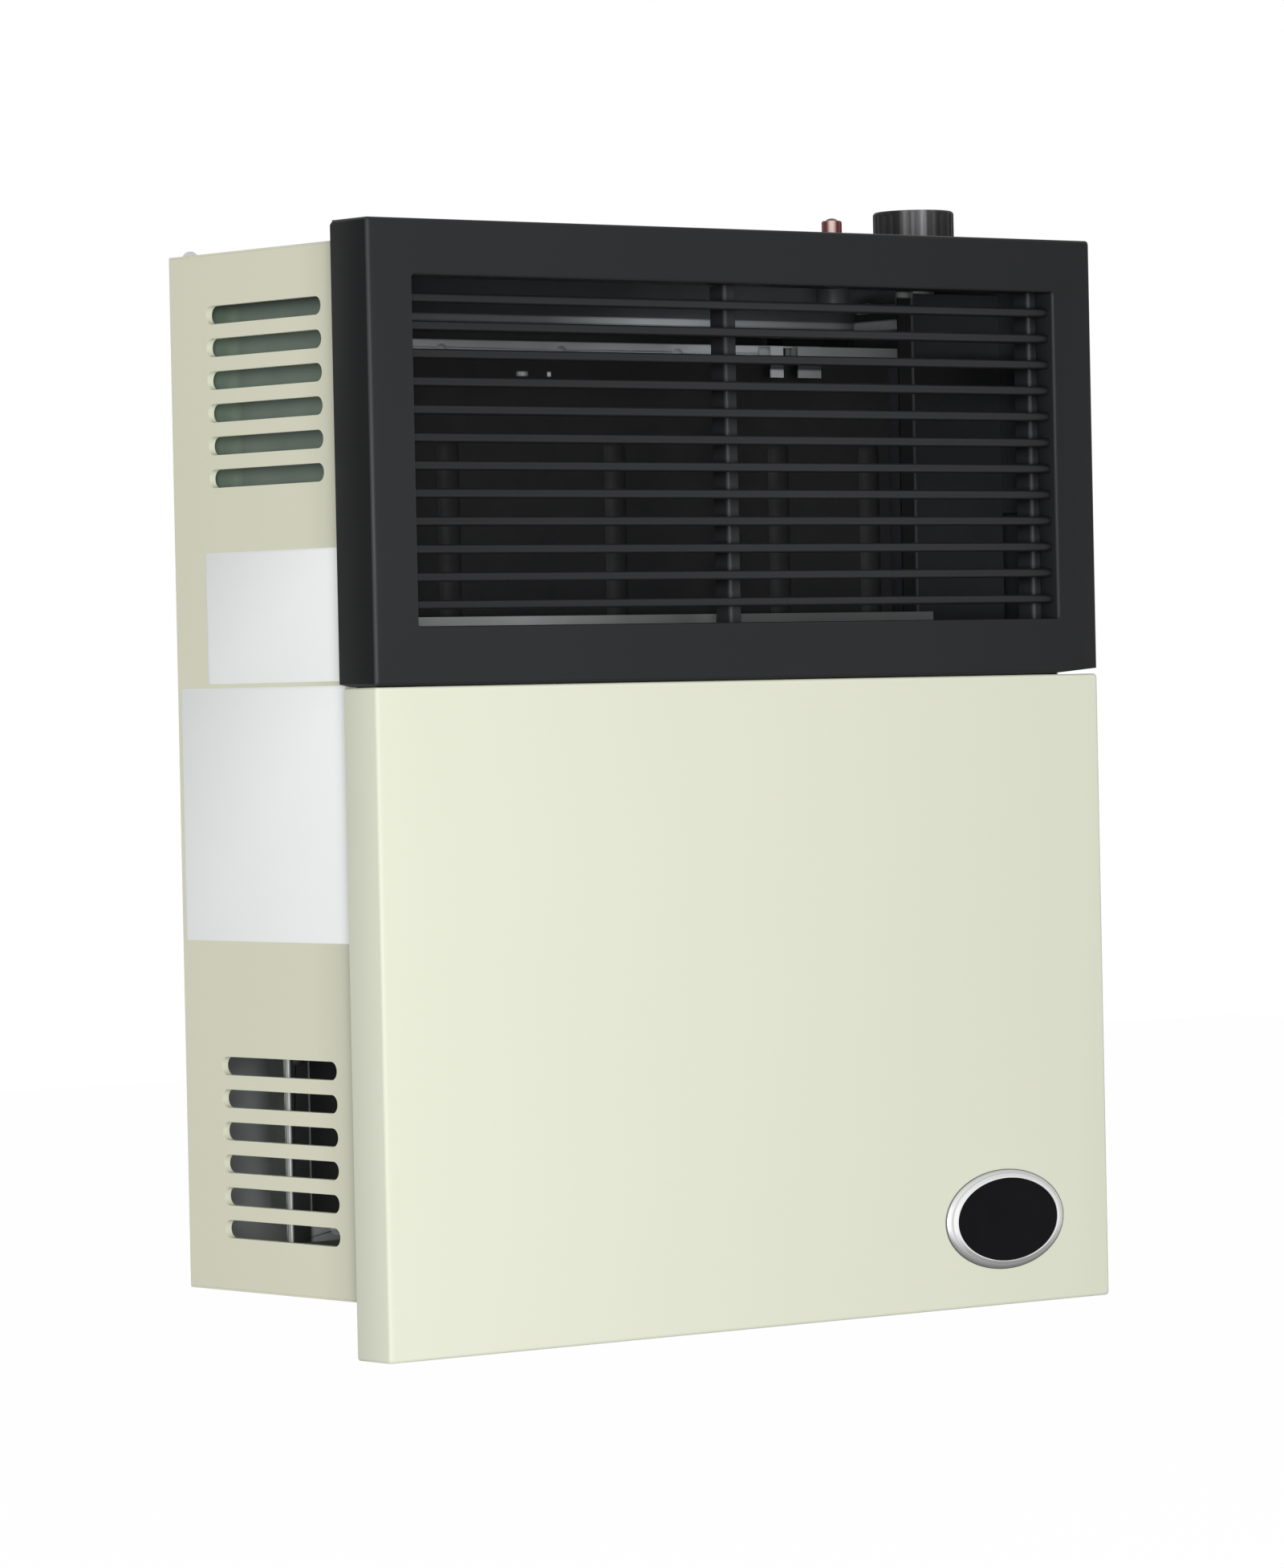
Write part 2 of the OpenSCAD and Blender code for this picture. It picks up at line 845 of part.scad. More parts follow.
// Black sheet that keeps the warm air off the gas valve, behind the right end of the grille
module control_screen() {
    t = 0.8;
    face = 118.5;
    flange = 10;
    left = divider_x + sheet_t + t / 2;
    right = liner_x - t / 2;
    color(dark)
        along_z(60, 244)
            strip([[left, flange - face], [left, -face], [right, -face], [right, flange - face]], t);
}

// ---------- Combustion chamber ----------

// The chamber's outline in X and Z, grown by the given amount
module chamber_outline(grow) {
    translate([chamber_left - grow, chamber_bottom - grow])
        square([chamber_w + 2 * grow, chamber_h + 2 * grow]);
}

// Middles of the flange's screws, in X and Z
function flange_screws() = let (e = flange_w / 2) concat(
    [for (x = [-180, -105, -30, 45, 120], z = [chamber_top + e, chamber_bottom - e]) [x, z]],
    [for (z = [-130, -40, 50, 140]) [chamber_left - e, z]],
    [for (z = [-60, 40, 140]) [chamber_right + e, z]]);

module flange_screw_holes(d0, d1) {
    for (p = flange_screws())
        wallward([p[0], -d0, p[1]])
            cylinder(r = 2.1, h = d1 - d0, $fn = 24);
}

module chamber_rear_shell() {
    face = chamber_split - gasket_t / 2;
    color(galvanised)
        difference() {
            union() {
                along_y(chamber_back, face)
                    chamber_outline(0);
                along_y(face - sheet_t, face)
                    chamber_outline(flange_w);
            }
            along_y(chamber_back + sheet_t, face + past)
                chamber_outline(-sheet_t);
            wallward([vent_x, 0, vent_z])
                cylinder(r = air_d / 2 - tube_wall, h = chamber_split);
            flange_screw_holes(0, chamber_split + past);
        }
}

// Upright bead pressed into the front shell
module bead(x, r) {
    axis_y = bead_r - bead_rise - chamber_front;
    translate([x, axis_y, bead_bottom])
        cylinder(r = r, h = bead_top - bead_bottom);
    for (z = [bead_bottom, bead_top])
        translate([x, axis_y, z])
            sphere(r = r);
}

module chamber_front_shell() {
    face = chamber_split + gasket_t / 2;
    inside = [chamber_left + sheet_t, chamber_bottom + sheet_t];
    color(dark)
        difference() {
            union() {
                along_y(face, chamber_front)
                    chamber_outline(0);
                along_y(face, face + sheet_t)
                    chamber_outline(flange_w);
                intersection() {
                    for (x = bead_x)
                        bead(x, bead_r);
                    along_y(chamber_front - past, chamber_front + bead_r)
                        chamber_outline(0);
                }
            }
            along_y(face - past, chamber_front - sheet_t)
                chamber_outline(-sheet_t);
            for (x = bead_x)
                bead(x, bead_r - sheet_t);
            block([chamber_right - sheet_t - past, -112, -166], [chamber_right + past, -77, -112]);
            wallward([95, sheet_t - chamber_front + past, pilot_z])
                cylinder(r = 11, h = sheet_t + 2 * past);
            flange_screw_holes(chamber_split - past, face + sheet_t + past);
        }
}

module chamber_gasket() {
    color(white)
        difference() {
            along_y(chamber_split - gasket_t / 2, chamber_split + gasket_t / 2)
                difference() {
                    chamber_outline(flange_w - 0.5);
                    chamber_outline(-sheet_t);
                }
            flange_screw_holes(chamber_split - 2 * gasket_t, chamber_split + 2 * gasket_t);
        }
}

module chamber_screws() {
    head_face = chamber_split + gasket_t / 2 + sheet_t;
    color(zinc)
        for (p = flange_screws())
            wallward([p[0], -head_face, p[1]])
                screw(head_r = 4, head_h = 2.6, shank_r = 2, length = 7);
}

// Brackets that hold the chamber off the back plate
module chamber_brackets() {
    t = 1.2;
    rear = -plate_t - t / 2;
    front = t / 2 - chamber_back;
    color(zinc) {
        along_x(-150, 90)
            strip([[rear, 216], [rear, 200], [front, 200], [front, 184]], t);
        along_x(-150, 90)
            strip([[rear, -200], [rear, -184], [front, -184], [front, -168]], t);
    }
}

// Bright clip with two legs over the chamber's top edge, and an arm that ties it to the divider's lip
module chamber_clip() {
    t = 0.8;
    face = -chamber_front - bead_rise - t / 2;
    legs = [[55, 63.3], [73, 88]];
    top = 215.3;
    color("#d5d8d6") {
        for (leg = legs)
            along_x(leg[0], leg[1])
                strip([[face, 199.8], [face, top], [face + 9, top], [face + 9, chamber_top]], t);
        along_x(legs[0][0], legs[1][1])
            strip([[face + 3, top], [face + 9, top]], t);
        block([legs[1][0], sheet_t - divider_front, 208.5], [divider_x - 2, sheet_t - divider_front + t, top + t / 2]);
    }
}

// Brings the outside air down to the burner, inside the chamber
module air_duct() {
    t = 0.8;
    half = duct_w / 2;
    inner = chamber_back + sheet_t;
    flange = 9;
    color(galvanised)
        difference() {
            union() {
                block([vent_x - half, -duct_front, duct_bottom], [vent_x + half, -inner, duct_top]);
                block([vent_x - half - flange, -inner - t, duct_bottom],
                    [vent_x + half + flange, -inner, duct_top + flange]);
            }
            block([vent_x - half + t, t - duct_front, duct_bottom - past],
                [vent_x + half - t, past - inner, duct_top - t]);
            wallward([vent_x, 0, vent_z])
                cylinder(r = flue_d / 2 + 0.1, h = duct_front + past);
        }
}

// Sends the burnt gas forward, round its front edge, before it reaches the flue
module flue_baffle() {
    color(galvanised)
        along_x(chamber_left + 12, chamber_right - 12)
            strip([[-duct_front - 0.5, 20], [-duct_front - 0.5, 34], [-104, 60], [-104, 67]], sheet_t);
}

// A round collar on the vent's axis, from the depth d1 to a point past the wall
module collar(radius, reach, d1, flange_r, flange_back) {
    difference() {
        union() {
            wallward([vent_x, reach, vent_z])
                cylinder(r = radius, h = reach + d1, $fn = 96);
            wallward([vent_x, 0, vent_z])
                cylinder(r = radius + stop_bead, h = 2, $fn = 96);
            wallward([vent_x, -flange_back, vent_z])
                cylinder(r = flange_r, h = 1, $fn = 96);
        }
        wallward([vent_x, reach + past, vent_z])
            cylinder(r = radius - tube_wall, h = reach + d1 + 2 * past, $fn = 96);
    }
}

module air_collar() {
    seat = chamber_back - gasket_t;
    color(galvanised)
        collar(air_d / 2, air_reach, seat, air_d / 2 + 9, seat - 1);
}

module air_collar_gasket() {
    color(white)
        difference() {
            wallward([vent_x, gasket_t - chamber_back, vent_z])
                cylinder(r = air_d / 2 + 8, h = gasket_t, $fn = 96);
            wallward([vent_x, 0, vent_z])
                cylinder(r = air_d / 2 - tube_wall, h = chamber_split, $fn = 96);
        }
}

module flue_collar() {
    color(galvanised)
        collar(flue_d / 2, flue_reach, duct_front + 1, flue_d / 2 + 9, duct_front);
}

// ---------- Sight window ----------

module sight_glass() {
    color("#b9c4b0")
        wallward([95, -chamber_front, pilot_z])
            cylinder(r = 15, h = 1.5);
}

module sight_frame() {
    color(zinc)
        difference() {
            block([75, -chamber_front - 2.7, pilot_z - 20], [115, -chamber_front, pilot_z + 20]);
            wallward([95, past - chamber_front, pilot_z])
                cylinder(r = 11, h = 6);
            wallward([95, past - chamber_front, pilot_z])
                cylinder(r = 15.2, h = past + 1.5);
        }
}

// ---------- Burner and pilot ----------

// Points its children along +X from p
module rightward(p) {
    translate(p)
        rotate([0, 90, 0])
            children();
}

module burner_tube() {
    left = -170;
    bell = 118;
    bell_len = 12;
    ports = 22;
    port_pitch = 12;
    color(zinc)
        difference() {
            union() {
                rightward([left, burner_y, burner_z])
                    cylinder(r = burner_r, h = bell - left);
                rightward([bell, burner_y, burner_z])
                    cylinder(r1 = burner_r, r2 = burner_r + 3, h = bell_len);
            }
            rightward([left + 1.2, burner_y, burner_z])
                cylinder(r = burner_r - 1.2, h = bell - left - 1.2 + 0.01);
            rightward([bell, burner_y, burner_z])
                cylinder(r1 = burner_r - 1.2, r2 = burner_r + 1.8, h = bell_len + 0.01);
            for (i = [0 : ports - 1])
                translate([left + 14 + i * port_pitch, burner_y, burner_z + burner_r - 3])
                    cylinder(r = 1.3, h = 6, $fn = 16);
        }
}

module burner_supports() {
    t = 1.5;
    floor_z = chamber_bottom + sheet_t;
    color(zinc)
        for (x = [-150, 80])
            difference() {
                union() {
                    block([x, -110, floor_z], [x + t, -79, -133]);
                    block([x, -110, floor_z], [x + 12, -79, floor_z + t]);
                }
                rightward([x - past, burner_y, burner_z])
                    cylinder(r = burner_r + 0.1, h = t + 2 * past);
            }
}

// The plate on the chamber's right side that the burner and the pilot come in through
module burner_flange() {
    color(zinc)
        difference() {
            block([chamber_right, -116, -172], [flange_out, -73, -108]);
            rightward([chamber_right - past, burner_y, burner_z])
                cylinder(r = 5.1, h = 2 + 2 * past);
            rightward([chamber_right - past, pilot_y, pilot_z])
                cylinder(r = 3.6, h = 2 + 2 * past);
            rightward([chamber_right - past, thermocouple_y, pilot_z])
                cylinder(r = 2.3, h = 2 + 2 * past);
            rightward([chamber_right - past, electrode_y, pilot_z])
                cylinder(r = 3.1, h = 2 + 2 * past);
        }
}

module burner_injector() {
    tip = 124;
    color(brass)
        difference() {
            union() {
                rightward([tip, burner_y, burner_z])
                    cylinder(r = 5, h = lead_start + 4 - tip);
                rightward([flange_out, burner_y, burner_z])
                    cylinder(r = 8, h = 6, $fn = 6);
            }
            rightward([tip - past, burner_y, burner_z])
                cylinder(r = 0.8, h = 8, $fn = 24);
            rightward([tip + 4, burner_y, burner_z])
                cylinder(r = 3, h = 40);
        }
}

module pilot_bracket() {
    t = 1.2;
    tab_x = 110;
    strip_z = pilot_z - 10;
    color(zinc)
        difference() {
            union() {
                block([90, -111, strip_z], [chamber_right, -78, strip_z + t]);
                block([tab_x, -111, strip_z], [tab_x + t, -78, pilot_z + 7]);
                block([chamber_right - t, -111, strip_z - 9], [chamber_right, -78, strip_z + t]);
            }
            rightward([tab_x - past, pilot_y, pilot_z])
                cylinder(r = 3.6, h = t + 2 * past);
            rightward([tab_x - past, thermocouple_y, pilot_z])
                cylinder(r = 2.3, h = t + 2 * past);
            rightward([tab_x - past, electrode_y, pilot_z])
                cylinder(r = 3.1, h = t + 2 * past);
        }
}

module pilot_burner() {
    color(brass)
        difference() {
            union() {
                rightward([98, pilot_y, pilot_z])
                    cylinder(r = 3.5, h = lead_start - 98);
                rightward([92, pilot_y, pilot_z])
                    cylinder(r = 5, h = 10);
            }
            rightward([92 - past, pilot_y, pilot_z])
                cylinder(r = 3.6, h = 6 + past);
            rightward([92, pilot_y, pilot_z])
                cylinder(r = 1, h = lead_start - 92 + past, $fn = 24);
        }
}

module thermocouple() {
    tip = 94;
    path = [[lead_start, thermocouple_y, pilot_z], [thermocouple_at[0], thermocouple_y, pilot_z],
        [thermocouple_at[0], thermocouple_y, valve_bottom]];
    color("#b87333") {
        rightward([tip, thermocouple_y, pilot_z])
            cylinder(r = 2.2, h = lead_start - tip);
        run(path, 1, 6);
    }
}

module spark_electrode() {
    tip = 86;
    color(white)
        rightward([100, electrode_y, pilot_z])
            cylinder(r = 3, h = lead_start - 100);
    color(zinc)
        run([[100, electrode_y, pilot_z], [tip, electrode_y, pilot_z], [tip, electrode_y + 7, pilot_z]],
            0.9, 3);
}

// Runs up beside the valve and over the divider into the igniter's side
module ignition_lead() {
    color(dark)
        run([[lead_start, electrode_y, pilot_z], [lead_up_x, electrode_y, pilot_z],
            [lead_up_x, electrode_y, lead_z], [lead_up_x, knob_y, lead_z],
            [button_x + igniter_r, knob_y, lead_z]], lead_r, 3.5);
}

// ---------- Gas pipes ----------

module pilot_pipe() {
    color("#b9bcbb")
        run([[lead_start, pilot_y, pilot_z], [pilot_at[0], pilot_y, pilot_z],
            [pilot_at[0], pilot_y, valve_bottom]], pilot_r, 8);
}

module burner_pipe() {
    path = [[lead_start + 4, burner_y, burner_z], [outlet_at[0], burner_y, burner_z],
        [outlet_at[0], burner_y, valve_bottom]];
    color("#b9bcbb")
        run(path, outlet_r, 12, outlet_r - 1);
}

module inlet_pipe() {
    foot = -212;
    color("#b9bcbb")
        translate([inlet_at[0], inlet_at[1], foot])
            difference() {
                cylinder(r = inlet_r, h = valve_bottom - foot);
                translate([0, 0, -past])
                    cylinder(r = inlet_r - 1.2, h = valve_bottom - foot + 2 * past);
            }
}

// Union nuts under the valve: place, pipe radius and nut radius
module pipe_nuts() {
    nuts = [[inlet_at, inlet_r, 10], [outlet_at, outlet_r, 7], [pilot_at, pilot_r, 4.4],
        [thermocouple_at, 1, 4]];
    color(brass)
        for (nut = nuts)
            translate([nut[0][0], nut[0][1], valve_bottom - nut_h])
                difference() {
                    cylinder(r = nut[2], h = nut_h, $fn = 6);
                    translate([0, 0, -past])
                        cylinder(r = nut[1] + 0.08, h = nut_h + 2 * past);
                }
}

// Female inlet for the supply pipe
module gas_inlet_fitting() {
    low = -236;
    high = -212;
    color(brass)
        translate([inlet_at[0], inlet_at[1], 0])
            difference() {
                translate([0, 0, low])
                    cylinder(r = 12, h = high - low, $fn = 6);
                translate([0, 0, low - past])
                    cylinder(r = 8, h = 14 + past);
                translate([0, 0, low])
                    cylinder(r = 4.8, h = high - low + past);
            }
}

module inlet_bracket() {
    t = 1.5;
    z = -226;
    wall_x = divider_x + sheet_t;
    color(zinc)
        difference() {
            union() {
                block([wall_x, -98, z], [210, -66, z + t]);
                block([wall_x, -98, z], [wall_x + t, -66, z + 14]);
            }
            translate([inlet_at[0], inlet_at[1], z - past])
                cylinder(r = 12.05, h = t + 2 * past, $fn = 6);
        }
}

// Senses the room air low in the valve compartment
module thermostat_bulb() {
    bulb_y = -40;
    low = -215;
    high = -135;
    color("#b87333") {
        translate([bulb_at[0], bulb_y, low])
            cylinder(r = 4, h = high - low);
        run([[bulb_at[0], bulb_y, high], [bulb_at[0], bulb_y, 160], [bulb_at[0], bulb_at[1], 160],
            [bulb_at[0], bulb_at[1], valve_bottom]], 0.9, 6);
    }
}

module bulb_clips() {
    bulb_y = -40;
    wall_x = divider_x + sheet_t;
    color(zinc)
        for (z = [-205, -155])
            difference() {
                union() {
                    translate([bulb_at[0], bulb_y, z])
                        cylinder(r = 5.1, h = 8);
                    block([wall_x, bulb_y - 1.2, z], [bulb_at[0] - 3, bulb_y, z + 8]);
                    block([wall_x, bulb_y - 9, z], [wall_x + 1.2, bulb_y, z + 8]);
                }
                translate([bulb_at[0], bulb_y, z - past])
                    cylinder(r = 4.05, h = 8 + 2 * past);
            }
}

// ---------- Gas valve and its knob ----------

module valve_body() {
    right = valve_left + valve_w;
    back = valve_front - valve_d;
    color("#a9adb0")
        difference() {
            block([valve_left, -valve_front, valve_bottom], [right, -back, valve_top]);
            translate([knob_x, knob_y, cavity_bottom])
                cylinder(r = cavity_r, h = valve_top - cavity_bottom + past);
            translate([inlet_at[0], inlet_at[1], valve_bottom - past])
                cylinder(r = inlet_r - 1.2, h = 13);
            translate([outlet_at[0], outlet_at[1], valve_bottom - past])
                cylinder(r = outlet_r - 1, h = 13);
            for (x = [valve_left + 5, right - 5], y = [5 - valve_front, -back - 5])
                translate([x, y, valve_top - 12])
                    cylinder(r = 1.6, h = 12 + past);
        }
}

module valve_cover() {
    right = valve_left + valve_w - 1;
    back = valve_front - valve_d + 1;
    screw_x = [valve_left + 5, right - 4];
    screw_y = [5 - valve_front, -back - 4];
    color("#c3c6c8") {
        difference() {
            union() {
                block([valve_left + 1, 1 - valve_front, valve_top], [right, -back, valve_top + valve_cover_t]);
                translate([knob_x, knob_y, valve_top])
                    cylinder(r = 10, h = boss_top - valve_top);
            }
            translate([knob_x, knob_y, valve_top - past])
                cylinder(r = shaft_r + shaft_gap, h = boss_top - valve_top + 2 * past);
            for (x = screw_x, y = screw_y)
                translate([x, y, valve_top - past])
                    cylinder(r = 1.6, h = valve_cover_t + 2 * past);
        }
        for (x = screw_x, y = screw_y)
            translate([x, y, valve_top + valve_cover_t])
                screw(head_r = 3, head_h = 2, shank_r = 1.5, length = 14);
    }
}

// Hat-shaped bracket between the divider and the valve, with its two screws
module valve_bracket() {
    t = 1.2;
    wall_x = divider_x + sheet_t + t / 2;
    top_x = valve_left - t / 2;
    low = bracket_screw_z[0] + 5;
    high = bracket_screw_z[1] - 5;
    color(zinc) {
        difference() {
            translate([0, -72, 0])
                rotate([90, 0, 0])
                    linear_extrude(28)
                        strip([[wall_x, low - 10], [wall_x, low], [top_x, low], [top_x, high],
                            [wall_x, high], [wall_x, high + 10]], t);
            for (z = bracket_screw_z)
                rightward([divider_x, -86, z])
                    cylinder(r = 2.1, h = 4);
        }
        for (z = bracket_screw_z)
            translate([wall_x + t / 2, -86, z])
                rotate([0, 90, 0])
                    screw(head_r = 3.5, head_h = 2.4, shank_r = 2, length = 5);
    }
}

module control_spindle() {
    color(zinc)
        translate([knob_x, knob_y, spindle_foot]) {
            cylinder(r = shaft_r, h = knob_top - 4 - spindle_foot);
            cylinder(r = 6.5, h = 4);
        }
}

module spindle_washer() {
    color(brass)
        translate([knob_x, knob_y, washer_bottom])
            cylinder(r = cavity_r - 0.35, h = washer_t);
}

module spindle_spring() {
    color(zinc)
        translate([knob_x, knob_y, 0])
            coil(z0 = cavity_bottom, z1 = washer_bottom, coil_r = 6.5, wire_r = 0.7, turns = 6);
}

// Knob with a rounded top edge, flutes that end below it, and a raised pointer
module control_knob() {
    r = knob_d / 2;
    h = knob_top - knob_bottom;
    edge = 1.8;
    flute_r = 1.35;
    flute_h = h - 2.6;
    color("#2c2d30")
        translate([knob_x, knob_y, knob_bottom])
            difference() {
                rotate_extrude($fn = 96)
                    difference() {
                        square([r, h]);
                        translate([r, h])
                            mirror([1, 1])
                                corner_waste(edge);
                    }
                for (i = [0 : knob_flutes - 1])
                    rotate(i * 360 / knob_flutes)
                        translate([r + flute_r * 0.35, 0, 0]) {
                            translate([0, 0, -past])
                                cylinder(r = flute_r, h = flute_h + past, $fn = 16);
                            translate([0, 0, flute_h])
                                sphere(r = flute_r, $fn = 16);
                        }
                translate([0, 0, -past])
                    cylinder(r = shaft_r + 0.02, h = h - 4 + past);
                difference() {
                    translate([0, 0, h - 1])
                        cylinder(r = r - 4, h = 1 + past);
                    block([-1.2, 4 - r, 0], [1.2, 2, h]);
                }
            }
}

// ---------- Push-button igniter ----------

module igniter_body() {
    color(dark)
        translate([button_x, knob_y, 0])
            difference() {
                union() {
                    translate([0, 0, igniter_bottom])
                        cylinder(r = igniter_r, h = igniter_neck_top - igniter_bottom);
                    translate([0, 0, cabinet_top - sheet_t - 3])
                        cylinder(r = igniter_r + 2.5, h = 3);
                }
                translate([0, 0, igniter_floor])
                    cylinder(r = igniter_bore_r, h = igniter_neck_top - igniter_floor + past);
            }
}

module igniter_nut() {
    color(dark)
        translate([button_x, knob_y, cabinet_top])
            difference() {
                cylinder(r = 12, h = 4, $fn = 6);
                translate([0, 0, -past])
                    cylinder(r = igniter_r + 0.08, h = 4 + 2 * past);
            }
}

// Hollow button with a rounded shoulder and a small dome on its top
module igniter_button() {
    r = button_d / 2;
    shoulder = 1;
    dome_r = 2.9;
    dome_h = 1.4;
    ball_r = (dome_r * dome_r + dome_h * dome_h) / (2 * dome_h);
    body_h = button_top - button_bottom - dome_h;
    color("#b3261e")
        translate([button_x, knob_y, button_bottom]) {
            difference() {
                rotate_extrude()
                    difference() {
                        square([r, body_h]);
                        translate([r, body_h])
                            mirror([1, 1])
                                corner_waste(shoulder);
                    }
                translate([0, 0, -past])
                    cylinder(r = button_bore_r, h = button_bore_top - button_bottom + past);
            }
            intersection() {
                translate([0, 0, body_h - 1])
                    cylinder(r = dome_r, h = 1 + dome_h);
                translate([0, 0, body_h + dome_h - ball_r])
                    sphere(r = ball_r);
            }
        }
}

module igniter_spring() {
    color(zinc)
        translate([button_x, knob_y, 0])
            coil(z0 = igniter_floor, z1 = button_bore_top, coil_r = 2.9, wire_r = 0.4, turns = 9);
}

back_plate();
left_side_panel();
right_side_panel();
top_panel();
bottom_panel();
cabinet_screws();
side_liners();
cover_rails();
front_panel();
grille_bezel();
grille_slats();
grille_bars();
badge_rim();
badge_inlay();
side_labels();
heat_deflector();
radiation_shield();
valve_divider();
control_screen();
chamber_rear_shell();
chamber_front_shell();
chamber_gasket();
chamber_screws();
chamber_brackets();
chamber_clip();
air_duct();
flue_baffle();
air_collar();
air_collar_gasket();
flue_collar();
sight_glass();
sight_frame();
burner_tube();
burner_supports();
burner_flange();
burner_injector();
pilot_bracket();
pilot_burner();
thermocouple();
spark_electrode();
ignition_lead();
pilot_pipe();
burner_pipe();
inlet_pipe();
pipe_nuts();
gas_inlet_fitting();
inlet_bracket();
thermostat_bulb();
bulb_clips();
valve_body();
valve_cover();
valve_bracket();
control_spindle();
spindle_washer();
spindle_spring();
control_knob();
igniter_body();
igniter_nut();
igniter_button();
igniter_spring();
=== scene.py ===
"""Wall mounted gas heater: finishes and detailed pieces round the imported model.

Shapes and the places of shades are in millimetres, which MM turns into the scene's metres.
The camera, the lamp and the floor are placed in metres.
"""
import json
import math

import bmesh
import bpy
from mathutils import Matrix, Vector


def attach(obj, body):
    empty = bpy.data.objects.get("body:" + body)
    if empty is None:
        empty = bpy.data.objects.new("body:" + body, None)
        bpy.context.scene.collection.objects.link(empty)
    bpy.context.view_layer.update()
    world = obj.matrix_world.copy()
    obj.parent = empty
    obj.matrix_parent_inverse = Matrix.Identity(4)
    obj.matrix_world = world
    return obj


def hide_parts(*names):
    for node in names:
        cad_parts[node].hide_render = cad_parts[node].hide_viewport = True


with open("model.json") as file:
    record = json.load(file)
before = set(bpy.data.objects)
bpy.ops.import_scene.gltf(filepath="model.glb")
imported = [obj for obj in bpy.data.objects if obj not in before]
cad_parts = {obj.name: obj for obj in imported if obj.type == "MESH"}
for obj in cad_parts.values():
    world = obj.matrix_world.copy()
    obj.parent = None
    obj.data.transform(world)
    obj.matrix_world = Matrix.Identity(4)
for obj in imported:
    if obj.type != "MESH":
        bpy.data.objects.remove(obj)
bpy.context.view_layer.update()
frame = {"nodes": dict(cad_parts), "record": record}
MM = 0.001
X, Y, Z = range(3)


# ---------- Camera ----------

CAMERA_PLACE = (-2.15178, -2.74596, 0.04362)
CAMERA_DEGREES = (-38.929, 0.766, -1.185)
LENS_MM, SENSOR_MM = 157.19, 36
CLIP_START, CLIP_END = 0.05, 60


def make_camera():
    """The photograph's viewpoint: azimuth and elevation of the line back to the camera, then a roll."""
    azimuth, elevation, roll = (math.radians(angle) for angle in CAMERA_DEGREES)
    right = Vector((math.cos(azimuth), math.sin(azimuth), 0))
    back = Vector((math.sin(azimuth) * math.cos(elevation), -math.cos(azimuth) * math.cos(elevation),
                   math.sin(elevation)))
    up = back.cross(right)
    x_axis = right * math.cos(roll) + up * math.sin(roll)
    y_axis = up * math.cos(roll) - right * math.sin(roll)
    lens = bpy.data.cameras.new("photo_camera")
    lens.lens = LENS_MM
    lens.sensor_width = SENSOR_MM
    lens.clip_start = CLIP_START
    lens.clip_end = CLIP_END
    camera = bpy.data.objects.new("photo_camera", lens)
    turn = Matrix((x_axis, y_axis, back)).transposed().to_4x4()
    camera.matrix_world = Matrix.Translation(CAMERA_PLACE) @ turn
    bpy.context.collection.objects.link(camera)
    bpy.context.scene.camera = camera


# ---------- Shader nodes ----------

class Tree:
    """The node tree of a material or a world, with short ways to add linked nodes."""

    def __init__(self, owner):
        owner.use_nodes = True
        self.nodes, self.links = owner.node_tree.nodes, owner.node_tree.links

    def feed(self, node, inputs):
        """Gives each input its value, or the output that drives it."""
        for key, value in inputs.items():
            if isinstance(value, bpy.types.NodeSocket):
                self.links.new(value, node.inputs[key])
            else:
                node.inputs[key].default_value = value

    def add(self, kind, inputs=None, **settings):
        """A new node with its settings and inputs."""
        node = self.nodes.new("ShaderNode" + kind)
        for name, value in settings.items():
            setattr(node, name, value)
        self.feed(node, inputs or {})
        return node

    def calculate(self, operation, first, second):
        """The outcome of one sum on two values."""
        return self.add("Math", {0: first, 1: second}, operation=operation).outputs[0]


# ---------- World, lamp and floor ----------

WHITE = (1.0, 1.0, 1.0, 1)
AMBIENT, BACKGROUND = 0.33, 1.0
KEY_PLACE, KEY_AIM = (-1.79, -2.42, 0.02), (0, -0.17, 0)
KEY_SIZE, KEY_WATTS = 1.6, 64
FLOOR_Z, FLOOR_HALF = -0.95, 12
FLOOR_GREY = (0.45, 0.45, 0.45, 1)
FLOOR_GLOW, FLOOR_SEEN_GLOW = 0.12, 0.84


def seen_ray(tree):
    """1 for camera, glossy and transmitted rays, so that the background is white in them too."""
    path = tree.add("LightPath").outputs
    seen = tree.calculate("MAXIMUM", path["Is Camera Ray"], path["Is Glossy Ray"])
    return tree.calculate("MAXIMUM", seen, path["Is Transmission Ray"])


def make_world():
    """Even white light from all round, with a brighter white where the background is seen."""
    world = bpy.data.worlds.new("studio")
    tree = Tree(world)
    tree.nodes.clear()
    light = tree.add("Background", {"Color": WHITE, "Strength": AMBIENT})
    seen = tree.add("Background", {"Color": WHITE, "Strength": BACKGROUND})
    mix = tree.add("MixShader", {"Fac": seen_ray(tree), 1: light.outputs[0], 2: seen.outputs[0]})
    tree.add("OutputWorld", {"Surface": mix.outputs[0]})
    bpy.context.scene.world = world


def make_key_lamp():
    """One large round lamp a little to the right of the camera."""
    light = bpy.data.lights.new("key", "AREA")
    light.shape = "DISK"
    light.size = KEY_SIZE
    light.energy = KEY_WATTS
    lamp = bpy.data.objects.new("key", light)
    lamp.location = KEY_PLACE
    lamp.rotation_mode = "QUATERNION"
    lamp.rotation_quaternion = (Vector(KEY_AIM) - Vector(KEY_PLACE)).to_track_quat("-Z", "Y")
    bpy.context.collection.objects.link(lamp)


